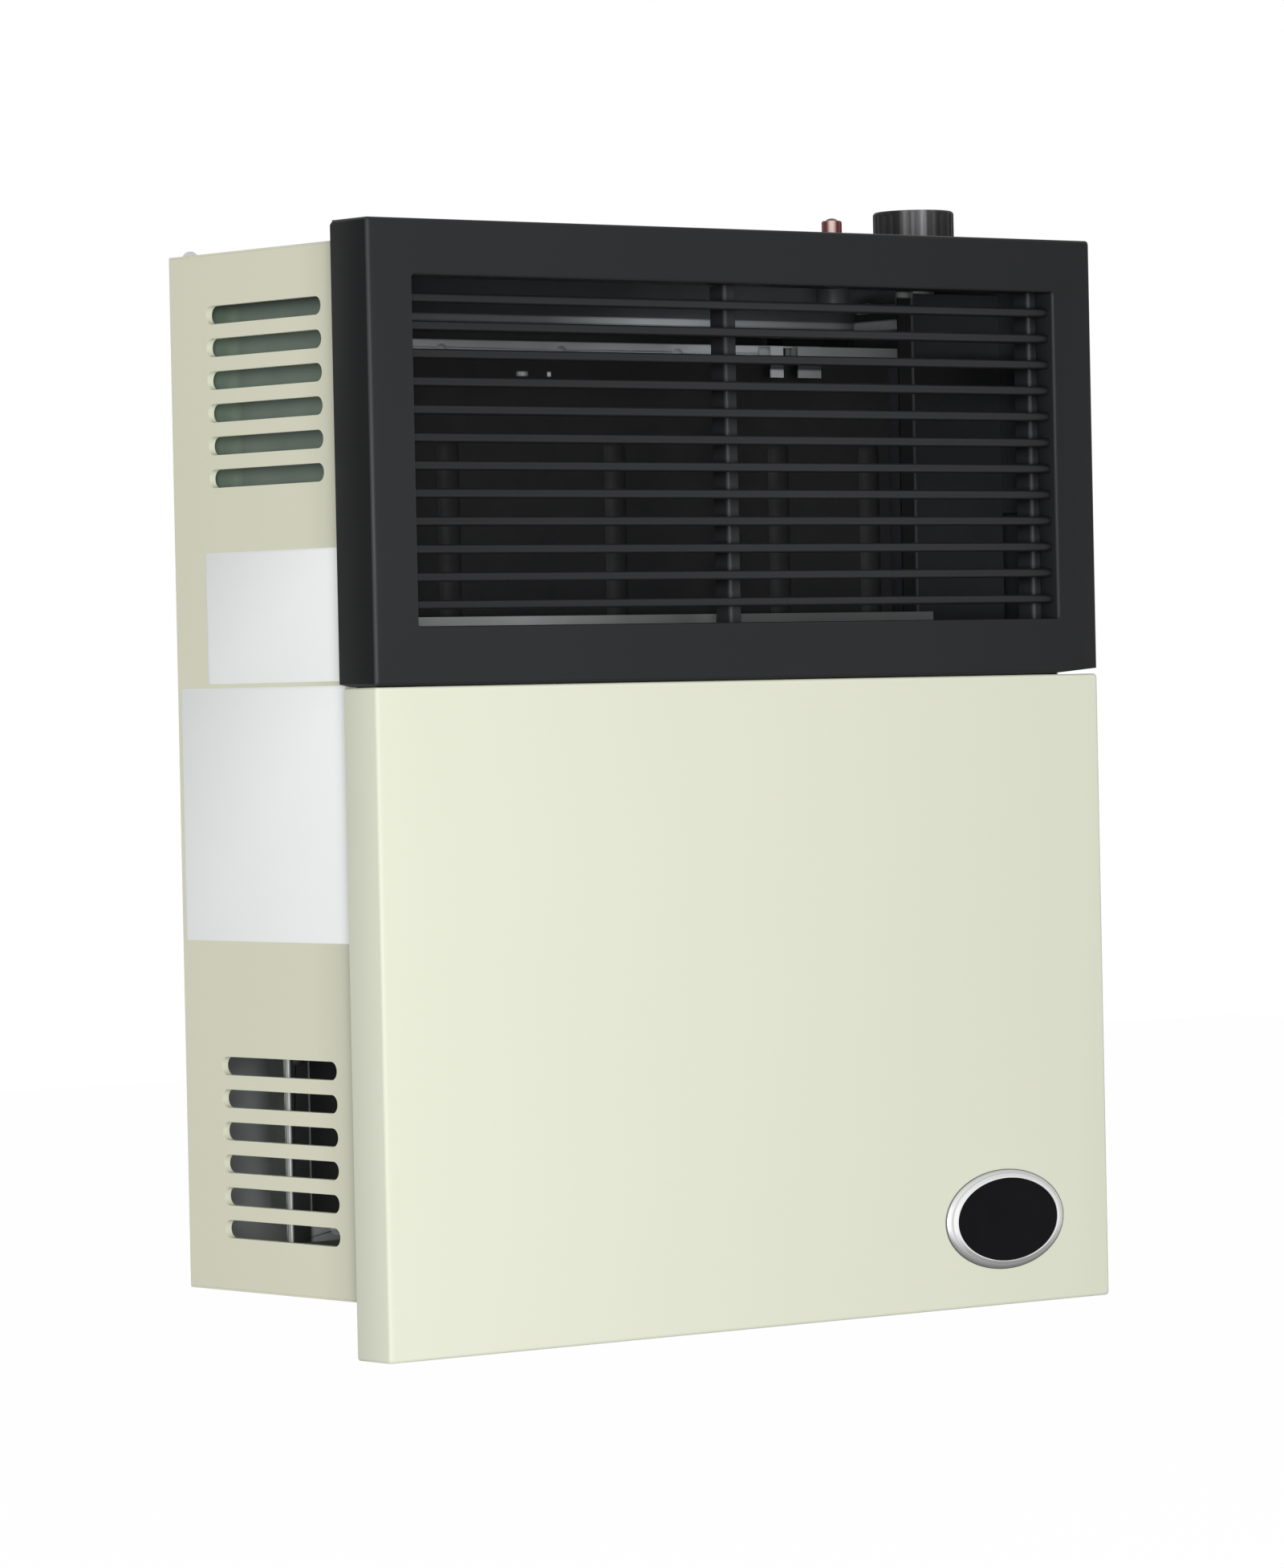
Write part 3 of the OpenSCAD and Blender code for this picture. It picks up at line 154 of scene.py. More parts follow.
def floor_material():
    """A matt grey that takes the shadow, with a glow that makes it read white."""
    material = bpy.data.materials.new("floor_pale")
    tree = Tree(material)
    tree.nodes.clear()
    matt = tree.add("BsdfDiffuse", {"Color": FLOOR_GREY})
    lift = tree.add("MapRange", {0: seen_ray(tree), "To Min": FLOOR_GLOW, "To Max": FLOOR_SEEN_GLOW})
    glow = tree.add("Emission", {"Strength": lift.outputs[0]})
    both = tree.add("AddShader", {0: matt.outputs[0], 1: glow.outputs[0]})
    tree.add("OutputMaterial", {"Surface": both.outputs[0]})
    return material


def make_floor():
    """A pale floor well below the heater, which hangs on a wall."""
    mesh = bpy.data.meshes.new("floor")
    corners = [(x * FLOOR_HALF, y * FLOOR_HALF, FLOOR_Z) for x, y in ((-1, -1), (1, -1), (1, 1), (-1, 1))]
    mesh.from_pydata(corners, [], [(0, 1, 2, 3)])
    mesh.materials.append(floor_material())
    floor = bpy.data.objects.new("floor", mesh)
    bpy.context.collection.objects.link(floor)


# ---------- Sizes ----------

def extent(node, axis):
    """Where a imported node's own mesh starts and ends along an axis."""
    places = [vertex.co[axis] / MM for vertex in frame["nodes"][node].data.vertices]
    return round(min(places), 2), round(max(places), 2)


def middle(node, axis):
    return round(sum(extent(node, axis)) / 2, 2)


def half_size(node, axis):
    low, high = extent(node, axis)
    return round((high - low) / 2, 2)


# The cover's sheets.
COVER_X = extent("grille_bezel", X)[1]
FACE_Y, BEZEL_REAR = extent("grille_bezel", Y)
BEZEL_LOW, BEZEL_HIGH = extent("grille_bezel", Z)
PANEL_REAR = extent("front_panel", Y)[1]
PANEL_LOW, PANEL_HIGH = extent("front_panel", Z)
SEAM_REAR = extent("left_side_panel", Y)[0]
SHEET, BEND, BEND_STEPS, CORNER, CUT_EDGE = 1.2, 2.0, 6, 1.6, 0.15

# The window and its slats.
WINDOW_X = extent("grille_bars", X)[1]
WINDOW_LOW, WINDOW_HIGH = extent("grille_bars", Z)
WINDOW_REAR, WINDOW_BEND, WINDOW_CORNER = -154, 1.5, 1
SLAT_X = extent("grille_slats", X)[1]
SLAT_REAR = extent("grille_slats", Y)[1]
SLAT_COUNT, SLAT_PITCH, SLAT_HEIGHT, SLAT_DEPTH, SLAT_BREAK = 12, 13.22, 4.5, 8.0, 0.4

# The badge: its middle in X and Z, and the half sizes of its rim and its inlay.
BADGE = (middle("badge_rim", X), middle("badge_rim", Z))
BADGE_HALF = (half_size("badge_rim", X), half_size("badge_rim", Z))
INLAY_HALF = (half_size("badge_inlay", X), half_size("badge_inlay", Z))

# The knob and the button: their axes in X and Y, radii and heights.
KNOB = (middle("control_knob", X), middle("control_knob", Y))
KNOB_LOW, KNOB_HIGH = extent("control_knob", Z)
KNOB_R, KNOB_SHOULDER = 20.8, 1.8
FLUTES, FLUTE_SAMPLES, FLUTE_R, FLUTE_DEPTH = 30, 10, 1.5, 0.7
FLUTE_END, FLUTE_END_LENGTH = 3.1, 1.85
BUTTON = (middle("igniter_button", X), middle("igniter_button", Y))
BUTTON_R, BUTTON_SHOULDER = half_size("igniter_button", X), 1
CAP_R, CAP_RISE = 2.95, 1.4
BUTTON_LOW = extent("igniter_button", Z)[0]
BUTTON_TOP = round(extent("igniter_button", Z)[1] - CAP_RISE, 2)

# The left side: its outer face, and the front, rear, low and high edges of each sticker.
SIDE_X = extent("left_side_panel", X)[0]
STICKERS = ((-141, -26, 51.9, 115.4), (-138, -3, -72.7, 49.9))
STICKER_CORNER = 1.8
LOUVRE_COUNT, LOUVRE_MIDDLE, LOUVRE_PITCH, LOUVRE_HALF = 6, 191.8, 15.85, 3.8

# The chamber's front shell and the screw flange round it, and the deflector's front lip.
CHAMBER_LEFT, CHAMBER_RIGHT = extent("chamber_front_shell", X)
CHAMBER_LOW, CHAMBER_HIGH = extent("chamber_front_shell", Z)
CHAMBER_FLANGE = 12.5
LIP_HIGH = 235.4


def slat_heights():
    """The middles of the slats, from the lowest up."""
    centre = (WINDOW_LOW + WINDOW_HIGH) / 2
    return [centre + (i - (SLAT_COUNT - 1) / 2) * SLAT_PITCH for i in range(SLAT_COUNT)]


# ---------- Painted light and shade ---

LEFT, UP = (-1, 0, 0), (0, 0, 1)
LEFT_BEND, UPPER_BEND, LOWER_BEND = (-0.707, -0.707, 0), (0, -0.6, 0.8), (0, -0.6, -0.8)

# From left to right as the photograph sees it, and where the knob's and the button's axes lie that way.
ACROSS = ("at", 0.7779, -0.6284, 0)
KNOB_ACROSS, BUTTON_ACROSS = 197.19, 154.09


def spread(tree, value, low, high, start=0.3, end=0.7):
    """Maps a value onto the range low to high; by default it comes from noise."""
    ranged = tree.add("MapRange", {"Value": value, "From Min": start, "From Max": end,
                                   "To Min": low, "To Max": high})
    return ranged.outputs["Result"]


def measured(tree, source):
    """The value that a shade goes by.

    "X", "Y" or "Z" is the place on the object along that axis, and ("at", x, y, z) the place in the scene
    along that direction. (x, y, z) is how far a face turns that way. ("oval", x, z, half width, half
    height) is 0 in the middle of an upright oval and 1 on its edge.
    """
    if isinstance(source, str):
        place = tree.add("TexCoord").outputs["Object"]
        return tree.add("SeparateXYZ", {0: place}).outputs[source]
    geometry = tree.add("NewGeometry").outputs
    if source[0] == "oval":
        x, z, half_w, half_h = (size * MM for size in source[1:])
        inside = tree.add("VectorMath", {0: geometry["Position"], 1: (1 / half_w, 0, 1 / half_h),
                                         2: (-x / half_w, 0, -z / half_h)}, operation="MULTIPLY_ADD")
        return tree.add("VectorMath", {0: inside.outputs[0]}, operation="LENGTH").outputs["Value"]
    vector = geometry["Position" if source[0] == "at" else "Normal"]
    way = Vector(source[-3:]).normalized()
    return tree.add("VectorMath", {0: vector, 1: way}, operation="DOT_PRODUCT").outputs["Value"]


def by_stops(tree, source, stops):
    """A factor that runs through the stops, each the measured value and the factor there."""
    first, last = stops[0][0], stops[-1][0]
    peak = max(factor for _, factor in stops)
    unit = MM if isinstance(source, str) or source[0] == "at" else 1
    share = spread(tree, measured(tree, source), 0, 1, first * unit, last * unit)
    ramp = tree.add("ValToRGB", {0: share})
    elements = ramp.color_ramp.elements
    elements[0].position, elements[-1].position = 0, 1
    elements[0].color = (*[stops[0][1] / peak] * 3, 1)
    elements[-1].color = (*[stops[-1][1] / peak] * 3, 1)
    for value, factor in stops[1:-1]:
        elements.new((value - first) / (last - first)).color = (*[factor / peak] * 3, 1)
    return spread(tree, ramp.outputs["Color"], 0, peak, 0, 1)


def across(axis, *stops):
    """Painted light and shade across a round upright part as the photograph sees it, counted from its axis.
    """
    return ACROSS, [(axis + place, factor) for place, factor in stops]


def louvre_shades():
    """Painted shade on the liner towards the top of each louvre, deepest in the uppermost one."""
    stops = []
    for i in range(LOUVRE_COUNT):
        centre = LOUVRE_MIDDLE + (i - (LOUVRE_COUNT - 1) / 2) * LOUVRE_PITCH
        top_factor = 0.62 if i < LOUVRE_COUNT - 1 else 0.34
        stops += [(centre - LOUVRE_HALF, 1.18), (centre + LOUVRE_HALF, top_factor)]
    return stops


def bar_shades():
    """The grille's upright bars catch light just above each slat and lie in the shade of the next one."""
    above_slat, below_next = 4.5, 12
    stops = []
    for z in slat_heights():
        stops += [(z + above_slat, 1.5), (z + below_next, 0.4)]
    return stops


def flange_share(tree):
    """Where shade is painted: 1 on the cover's left flange, which sees only the room's dim end, else 0."""
    side = by_stops(tree, LEFT, ((0.75, 0), (1, 1)))
    edge = by_stops(tree, "X", ((0.05 - COVER_X, 1), (0.3 - COVER_X, 0)))
    return tree.calculate("MULTIPLY", side, edge)


# ---------- Surfaces ----------

COAT_ROUGHNESS = 0.08
CRYSTALS_PER_TONE = 9
GLOSS_PER_TONE = 3
TONE_DETAIL, FINE_DETAIL = 4.0, 2.0


def noise(tree, scale, detail, stretch):
    """Noise in the object's own space, scale in cells per metre."""
    place = tree.add("TexCoord").outputs["Object"]
    mapping = tree.add("Mapping", {"Vector": place, "Scale": stretch})
    pattern = tree.add("TexNoise", {"Vector": mapping.outputs["Vector"], "Scale": scale, "Detail": detail})
    return pattern.outputs["Fac"]


def crystals(tree, scale):
    """The grey of each zinc crystal, scale in crystals per metre."""
    place = tree.add("TexCoord").outputs["Object"]
    pattern = tree.add("TexVoronoi", {"Vector": place, "Scale": scale})
    return tree.add("RGBToBW", {0: pattern.outputs["Color"]}).outputs[0]


def mixed(tree, first, second, share):
    """The first colour turned into the second by the share."""
    return tree.add("Mix", {"A": first, "B": second, "Factor": share}, data_type="RGBA").outputs["Result"]


def sheen_over(tree, painted, colour, *masks):
    """Lays a painted highlight's colour over the paint where all the masks meet."""
    share = by_stops(tree, *masks[0])
    for mask in masks[1:]:
        share = tree.calculate("MULTIPLY", share, by_stops(tree, *mask))
    return mixed(tree, painted, (*colour, 1), share)


def surface(name, colours, roughness, metal=0.0, specular=0.5, coat=0.0, tone_scale=14, cells=False,
            grain_scale=900, grain_depth=0.02, grain_strength=0.2, rough_swing=0.05, stretch=(1, 1, 1),
            shades=(), flange=None, sheen=None):
    """A finish with slow tone changes, fine grain in the surface and uneven gloss.

    Each shade scales the colour by its stops as painted light or shade, and flange paints shade on the
    cover's left flange and lowers its specular there. The sheen is a painted highlight: a colour and the
    masks that it shows through.
    """
    material = bpy.data.materials.new(name)
    tree = Tree(material)
    if cells:
        tone = crystals(tree, tone_scale * CRYSTALS_PER_TONE)
    else:
        tone = noise(tree, tone_scale, TONE_DETAIL, stretch)
    painted = mixed(tree, (*colours[0], 1), (*colours[1], 1), spread(tree, tone, 0, 1))
    factors = [by_stops(tree, *shade) for shade in shades]
    if flange:
        share = flange_share(tree)
        factors.append(spread(tree, share, 1, flange, 0, 1))
        specular = spread(tree, share, specular, specular * flange, 0, 1)
    for factor in factors:
        painted = tree.add("VectorMath", {0: painted, "Scale": factor}, operation="SCALE").outputs[0]
    if sheen:
        painted = sheen_over(tree, painted, *sheen)
    grain = noise(tree, grain_scale, FINE_DETAIL, stretch)
    bump = tree.add("Bump", {"Height": grain, "Strength": grain_strength, "Distance": grain_depth * MM})
    uneven = noise(tree, tone_scale * GLOSS_PER_TONE, FINE_DETAIL, stretch)
    gloss = spread(tree, uneven, roughness - rough_swing, roughness + rough_swing)
    shader = tree.nodes["Principled BSDF"]
    tree.feed(shader, {"Base Color": painted, "Metallic": metal, "Specular IOR Level": specular,
                       "Roughness": gloss, "Normal": bump.outputs["Normal"]})
    if coat:
        tree.feed(shader, {"Coat Weight": coat, "Coat Roughness": COAT_ROUGHNESS})
    return material


# ---------- Finishes ----------

BLACK_PAINT = dict(colours=((0.0190, 0.0196, 0.0212), (0.0212, 0.0218, 0.0234)), roughness=0.40,
                   specular=0.12, tone_scale=6, grain_scale=2600, grain_strength=0.35)
PALE_PAINT = dict(tone_scale=5, grain_scale=1400, grain_depth=0.01)
HARD_PLASTIC = dict(roughness=0.45, specular=0.25, tone_scale=80, grain_scale=3000)
CASTING = dict(colours=((0.42, 0.43, 0.44), (0.50, 0.51, 0.52)), roughness=0.50, metal=0.9, tone_scale=60,
               grain_scale=1200)
ZINC_SHEET = dict(tone_scale=12, grain_scale=700)
BLACK_SHEET = dict(colours=((0.010, 0.0105, 0.012), (0.014, 0.0145, 0.016)), tone_scale=22, grain_scale=1600)

FINISHES = {
    # The cover's lower half, with painted shade on its bends and flanges behind the face and a painted
    # highlight on its top bend.
    "cream_enamel": dict(
        PALE_PAINT, colours=((0.800, 0.822, 0.668), (0.812, 0.832, 0.682)), roughness=0.50, specular=0.2,
        shades=[(LEFT_BEND, ((0.75, 1), (0.92, 0.93))),
                (UPPER_BEND, ((0.68, 1), (0.85, 1.10), (1, 1.14))),
                ("Y", ((-169.9, 1), (-168.5, 0.955), (-160, 0.97), (-145, 1)))]),

    # The cabinet, in the cover's cream darkened as painted shade, deepening towards the cover.
    "side_enamel": dict(
        PALE_PAINT, colours=((0.765, 0.768, 0.610), (0.777, 0.778, 0.622)), roughness=0.45, specular=0.25,
        shades=[("Y", ((-136, 0.84), (-122, 0.92), (-108, 0.99), (-95, 1)))]),

    # The cover's upper half: painted light fading to the right and upwards, painted highlights on its left
    # bends and left-facing faces, and painted shade on its lower bend and left flange.
    "black_enamel": dict(
        BLACK_PAINT, flange=0.35,
        shades=[("X", ((-230, 1.15), (100, 0.92), (230, 0.72))),
                ("Z", ((225, 1), (245, 0.94))),
                (LEFT, ((0.75, 1), (0.97, 1.35))),
                (LOWER_BEND, ((0.68, 1), (0.85, 0.6), (1, 0.5))),
                (LEFT_BEND, ((0.74, 1), (0.90, 1.8)))]),

    # The grille's upright bars: painted light and shade between the slats, painted highlights on the left
    # bends.
    "bar_black": dict(
        BLACK_PAINT,
        shades=[("Z", bar_shades()),
                (LEFT_BEND, ((0.74, 1), (0.90, 1.6)))]),

    # The slats, in painted light that is brightest right of the middle.
    "slat_black": dict(
        colours=((0.0200, 0.0206, 0.0226), (0.0222, 0.0228, 0.0248)), roughness=0.40, specular=0.2,
        tone_scale=20, grain_scale=2600, grain_strength=0.35,
        shades=[("X", ((-200, 0.58), (-110, 0.72), (0, 0.86), (76, 0.90), (118, 0.80), (187, 0.66),
                       (205, 0.45)))]),

    # The chamber and the inside of the cabinet, with painted light towards the right, painted shade that
    # deepens upwards to the chamber's top, and two painted glints high on the chamber's front.
    "chamber_black": dict(
        BLACK_SHEET, roughness=0.62, specular=0.22, grain_strength=0.4,
        shades=[("X", ((140, 1), (152, 1.7), (170, 2.2), (187, 3), (210, 3.9))),
                ("Z", ((50, 0.95), (120, 0.75), (187, 0.5), (197, 0.15), (210, 0.15), (215, 0.8)))],
        sheen=((0.62, 0.64, 0.64),
               ("Z", ((198.4, 0), (199.2, 1), (200.4, 1), (201.2, 0))),
               ("X", ((-103.5, 0), (-101.5, 0.5), (-99, 0.7), (-96.5, 0.2), (-95.5, 0), (-84.3, 0),
                      (-83.6, 1), (-82.2, 1), (-81.5, 0))))),

    # Galvanised sheet with its crystals.
    "galvanised": dict(
        ZINC_SHEET, colours=((0.32, 0.345, 0.345), (0.37, 0.395, 0.395)), roughness=0.42, metal=0.85,
        cells=True),

    # The radiation shield, in deepening shade to the right.
    "shield_zinc": dict(
        ZINC_SHEET, colours=((0.40, 0.42, 0.42), (0.44, 0.46, 0.46)), roughness=0.5, metal=0.4,
        shades=[("X", ((-200, 1), (-146, 1), (-115, 1.2), (-87, 0.95), (-47, 0.64), (0, 0.56), (35, 0.35),
                       (90, 0.30), (150, 0.37)))]),

    # The deflector's front lip, which catches the light from the left of its middle to the right.
    "deflector_zinc": dict(
        ZINC_SHEET, colours=((0.44, 0.475, 0.485), (0.48, 0.515, 0.525)), roughness=0.5, metal=0.3,
        shades=[("X", ((-210, 0.30), (-35, 0.38), (-14, 0.44), (6, 0.8), (35, 1.5), (55, 2.1), (68, 2.5),
                       (80, 2.4), (100, 1.6), (135, 1.4), (168, 1.1), (213, 0.8))),
                ("Z", ((230, 0.5), (231.2, 0.6), (231.6, 1), (233.7, 1), (234.6, 0.35), (235.5, 0.25)))]),

    # The deflector's slope and roof, in painted shade that lifts towards the right and the top.
    "roof_zinc": dict(
        ZINC_SHEET, colours=((0.40, 0.43, 0.45), (0.44, 0.47, 0.49)), roughness=0.5, metal=0.3,
        shades=[("X", ((-200, 0.22), (20, 0.24), (100, 0.58), (185, 0.60), (195, 1))),
                ("Z", ((236, 0.8), (244, 1)))]),

    # The back plate's inner side, in painted shade that deepens upwards.
    "plate_zinc": dict(
        ZINC_SHEET, colours=((0.32, 0.345, 0.34), (0.37, 0.395, 0.39)), roughness=0.45, metal=0.6,
        shades=[("Z", ((-240, 1.5), (100, 1), (190, 0.12), (260, 0.12)))]),

    # The liners behind the upper louvres, with painted light towards their rear ends and painted shade
    # near the top of each louvre.
    "liner_zinc": dict(
        ZINC_SHEET, colours=((0.136, 0.180, 0.146), (0.164, 0.212, 0.174)), roughness=0.50, metal=0.5,
        shades=[("Y", ((-110, 1), (-45, 1), (-26, 2.8), (-18, 3))),
                ("Z", louvre_shades())]),

    # The chamber's bare screw flange: painted light along it, brightest towards the right, dark on the left
    # flange's face, and painted shade past its right part and on its top edge.
    "flange_zinc": dict(
        colours=((0.60, 0.63, 0.64), (0.66, 0.69, 0.70)), roughness=0.45, metal=0.3, tone_scale=30,
        shades=[("X", ((-207.3, 1.3), (-207.22, 0.05), (-195.1, 0.05), (-194.6, 0.80), (-120, 0.80),
                       (-100, 0.64), (-75, 0.54), (-30, 0.58), (0, 0.68), (35, 0.72), (46, 1.05),
                       (61, 1.6), (96, 2.1), (104, 2.1), (108, 0.05), (150, 0.05))),
                ("Z", ((215, 1.25), (217.2, 1), (218.9, 0.9), (219.6, 0.3)))]),

    # The clip on the chamber's front, with painted light that fades to the right and a band of painted slat
    # shadow across it.
    "bright_zinc": dict(
        colours=((0.62, 0.65, 0.66), (0.72, 0.75, 0.76)), roughness=0.45, metal=0.3, tone_scale=30,
        shades=[("X", ((63.3, 0.66), (73, 0.38), (88, 0.32), (100, 0.27), (112, 0.25), (126, 0.205),
                       (137, 0.165), (150, 0.12))),
                ("Z", ((203, 1), (204.2, 0.05), (208.3, 0.05), (209, 1)))]),

    # The valve divider, with a painted highlight on its front lip's bend and a painted glint near its top.
    "lip_black": dict(
        BLACK_SHEET, roughness=0.6, specular=0.15,
        shades=[("X", ((142.5, 0.5), (151.2, 0.5), (151.8, 4.5), (153.4, 4.5), (154, 0.5)))],
        sheen=((0.27, 0.28, 0.28),
               ("Z", ((241.3, 0), (242.2, 1), (244, 1), (245, 0))),
               ("X", ((142.5, 0.6), (146, 1), (149, 0.8), (151, 0.3))))),

    # The valve's left side, in painted shade but for a narrow strip of painted light.
    "valve_shade": dict(
        CASTING,
        shades=[("Z", ((226.2, 0.12), (227.8, 1.3), (231.2, 1.5), (232.4, 0.10)))]),

    # Screws, nuts and other plated parts.
    "zinc_plated": dict(
        colours=((0.50, 0.51, 0.51), (0.60, 0.61, 0.61)), roughness=0.32, metal=1.0, tone_scale=40,
        stretch=(1, 1, 6)),

    # Fittings.
    "brass": dict(
        colours=((0.55, 0.38, 0.14), (0.62, 0.44, 0.18)), roughness=0.28, metal=1.0, tone_scale=60),

    # Capillary tubes.
    "copper": dict(
        colours=((0.60, 0.28, 0.16), (0.52, 0.24, 0.13)), roughness=0.32, metal=1.0, tone_scale=60),

    # Gas pipes, drawn along their length.
    "pipe_aluminium": dict(
        colours=((0.58, 0.59, 0.60), (0.66, 0.67, 0.68)), roughness=0.34, metal=1.0, tone_scale=50,
        stretch=(1, 1, 0.1)),

    # The valve's casting.
    "cast_aluminium": dict(CASTING, grain_strength=0.5),

    # The knob, with the lamp's highlights painted in streaks across its flutes and darker sides.
    "knob_plastic": dict(
        colours=((0.0175, 0.0175, 0.0185), (0.0205, 0.0205, 0.0215)), roughness=0.5, specular=0.12,
        tone_scale=60, grain_scale=3000,
        shades=[across(KNOB_ACROSS, (-21, 1.5), (-8, 1.2), (-6.2, 8), (-5, 11), (-2.8, 5), (-1.2, 9.5),
                       (0.8, 6.5), (2.4, 10), (3.8, 19), (5, 15), (6.6, 3), (9.6, 4.5), (11.5, 1.6),
                       (16, 1.5), (21, 0.9))]),

    # The igniter's body under the top.
    "piezo_body": dict(HARD_PLASTIC, colours=((0.055, 0.057, 0.062), (0.065, 0.067, 0.072))),

    # Other black plastic parts.
    "black_plastic": dict(HARD_PLASTIC, colours=((0.010, 0.010, 0.011), (0.014, 0.014, 0.015))),

    # The button, with a painted highlight down its front and painted shade at its sides.
    "red_plastic": dict(
        colours=((0.30, 0.016, 0.013), (0.33, 0.020, 0.016)), roughness=0.28, specular=0.4,
        tone_scale=120, grain_scale=2500, rough_swing=0.02,
        shades=[across(BUTTON_ACROSS, (-5.5, 0.42), (-2.6, 0.42), (-1.3, 1), (1.6, 1), (2.4, 0.25),
                       (3.2, 0.22), (4, 0.9), (5.5, 0.9))],
        sheen=((1.0, 0.77, 0.70),
               across(BUTTON_ACROSS, (-3, 0), (-2.2, 0.15), (-1.5, 0.72), (-0.8, 1), (0.7, 1), (1.6, 0.55),
                      (2.3, 0.04), (2.8, 0)))),

    # The badge's rim: painted shade where it looks down and, less, towards the top; darker in a fine ring
    # round its shoulder.
    "chrome_rim": dict(
        colours=((0.86, 0.87, 0.86), (0.90, 0.91, 0.90)), roughness=0.30, metal=0.25, tone_scale=60,
        grain_scale=1500, grain_strength=0.05, rough_swing=0.02,
        shades=[(UP, ((-0.65, 0.20), (-0.35, 0.40), (-0.10, 0.98), (0.2, 1), (0.65, 0.75))),
                (("oval", *BADGE, *BADGE_HALF), ((0.83, 1.05), (0.905, 1), (0.915, 0.72), (0.93, 0.72),
                                                 (0.94, 0.95), (1, 0.9)))]),

    # A painted shadow line on the fine lip round the rim's foot, darkest where it looks down.
    "rim_foot_shadow": dict(
        colours=((0.15, 0.15, 0.14), (0.18, 0.18, 0.17)), roughness=0.4, specular=0.2, tone_scale=60,
        grain_scale=1500,
        shades=[(UP, ((-0.6, 0.4), (0, 1), (0.6, 1.3)))]),

    # The small dome in the button's top.
    "smoked_cap": dict(
        colours=((0.10, 0.055, 0.050), (0.13, 0.075, 0.068)), roughness=0.22, coat=0.4, tone_scale=120,
        grain_scale=2500, rough_swing=0.02),

    # The badge's inlay.
    "black_gloss": dict(
        colours=((0.003, 0.003, 0.004), (0.004, 0.004, 0.005)), roughness=0.45, specular=0.06,
        tone_scale=90, grain_scale=2500, rough_swing=0.03),

    # The two blank stickers.
    "sticker": dict(
        colours=((0.905, 0.935, 0.920), (0.925, 0.950, 0.935)), roughness=0.40, tone_scale=18,
        grain_scale=2600, grain_strength=0.25),

    # Fibre between the chamber's shells and under the collar.
    "fibre_gasket": dict(
        colours=((0.62, 0.61, 0.56), (0.70, 0.69, 0.63)), roughness=0.92, specular=0.1, tone_scale=200,
        grain_scale=2500, grain_strength=0.9),

    # The sight glass.
    "mica": dict(
        colours=((0.45, 0.46, 0.38), (0.55, 0.55, 0.46)), roughness=0.15, tone_scale=80),

    # The electrode's insulator.
    "white_ceramic": dict(
        colours=((0.74, 0.72, 0.66), (0.80, 0.78, 0.73)), roughness=0.55, specular=0.3, tone_scale=90),
}

materials = {name: surface(name, **finish) for name, finish in FINISHES.items()}


# ---------- Second finishes ----------

FACING = 0.5
NEAR = 0.01
RIGHT_FLANGE_FRONT = -5
FOOT_RISE = 0.62


def bare_flange(place, normal):
    """The chamber's front shell is black on its box and bare on the flange that the screws hold."""
    return (place.x < CHAMBER_LEFT + CHAMBER_FLANGE - NEAR or place.x > CHAMBER_RIGHT - CHAMBER_FLANGE + NEAR
            or place.z < CHAMBER_LOW + CHAMBER_FLANGE - NEAR
            or place.z > CHAMBER_HIGH - CHAMBER_FLANGE + NEAR)


def liner_outside(place, normal):
    """The liners show bare metal to the louvres; the chamber's black on their other faces is painted shade.
    """
    return place.x * normal.x > 0


def above_lip(place, normal):
    """The deflector's slope and roof lie in the dark behind the cover's border."""
    return place.z > LIP_HIGH


def room_side(place, normal):
    """The side that looks at the room, into the cabinet's dark."""
    return normal.y < -FACING


def left_side(place, normal):
    return normal.x < -FACING


def panel_inside(place, normal):
    """The right panel's inner side and rear flange, in the cabinet's dark, get the chamber's black as painted
    shade.
    """
    return left_side(place, normal) or room_side(place, normal) and place.y > RIGHT_FLANGE_FRONT


def badge_foot(place, normal):
    """The fine lip round the foot of the badge's rim."""
    return place.y > FACE_Y - FOOT_RISE


def two_finishes(obj, finish, chosen):
    """Gives the chosen faces a second finish; chosen sees the face's middle and normal."""
    mesh = obj.data
    mesh.materials.append(materials[finish])
    for face in mesh.polygons:
        face.material_index = int(chosen(face.center / MM, face.normal))


# On the side liners and inside the right panel, the chamber's black is painted shade.
OWN_FINISH = {"side_liners": "chamber_black", "chamber_clip": "bright_zinc",
              "heat_deflector": "deflector_zinc", "radiation_shield": "shield_zinc",
              "chamber_screws": "flange_zinc", "chamber_brackets": "flange_zinc",
              "valve_divider": "lip_black", "igniter_body": "piezo_body", "grille_bars": "bar_black"}
SECOND_FINISH = {"chamber_front_shell": ("flange_zinc", bare_flange),
                 "side_liners": ("liner_zinc", liner_outside), "heat_deflector": ("roof_zinc", above_lip),
                 "back_plate": ("plate_zinc", room_side), "valve_body": ("valve_shade", left_side),
                 "right_side_panel": ("chamber_black", panel_inside)}


def finish_cad_nodes():
    """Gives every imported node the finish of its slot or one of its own, and some faces a second one."""
    for part in frame["record"]["subparts"]:
        node = frame["nodes"][part["node"]]
        node.data.materials.clear()
        node.data.materials.append(materials[OWN_FINISH.get(part["node"], part["material_slot"])])
    for node, (finish, chosen) in SECOND_FINISH.items():
        two_finishes(frame["nodes"][node], finish, chosen)


# ---------- Mesh helpers ----------

# After a cut, points closer than this become one: slivers would throw the sheet's inner side astray.
WELD = 0.03
SHARP_DEGREES = 35


def arc(start, end, steps):
    """Angles in equal steps between two ends, which are included and given in degrees."""
    return [math.radians(start + (end - start) * k / steps) for k in range(steps + 1)]


def full_turn(steps):
    """Angles in equal steps round a circle."""
    return [2 * math.pi * k / steps for k in range(steps)]


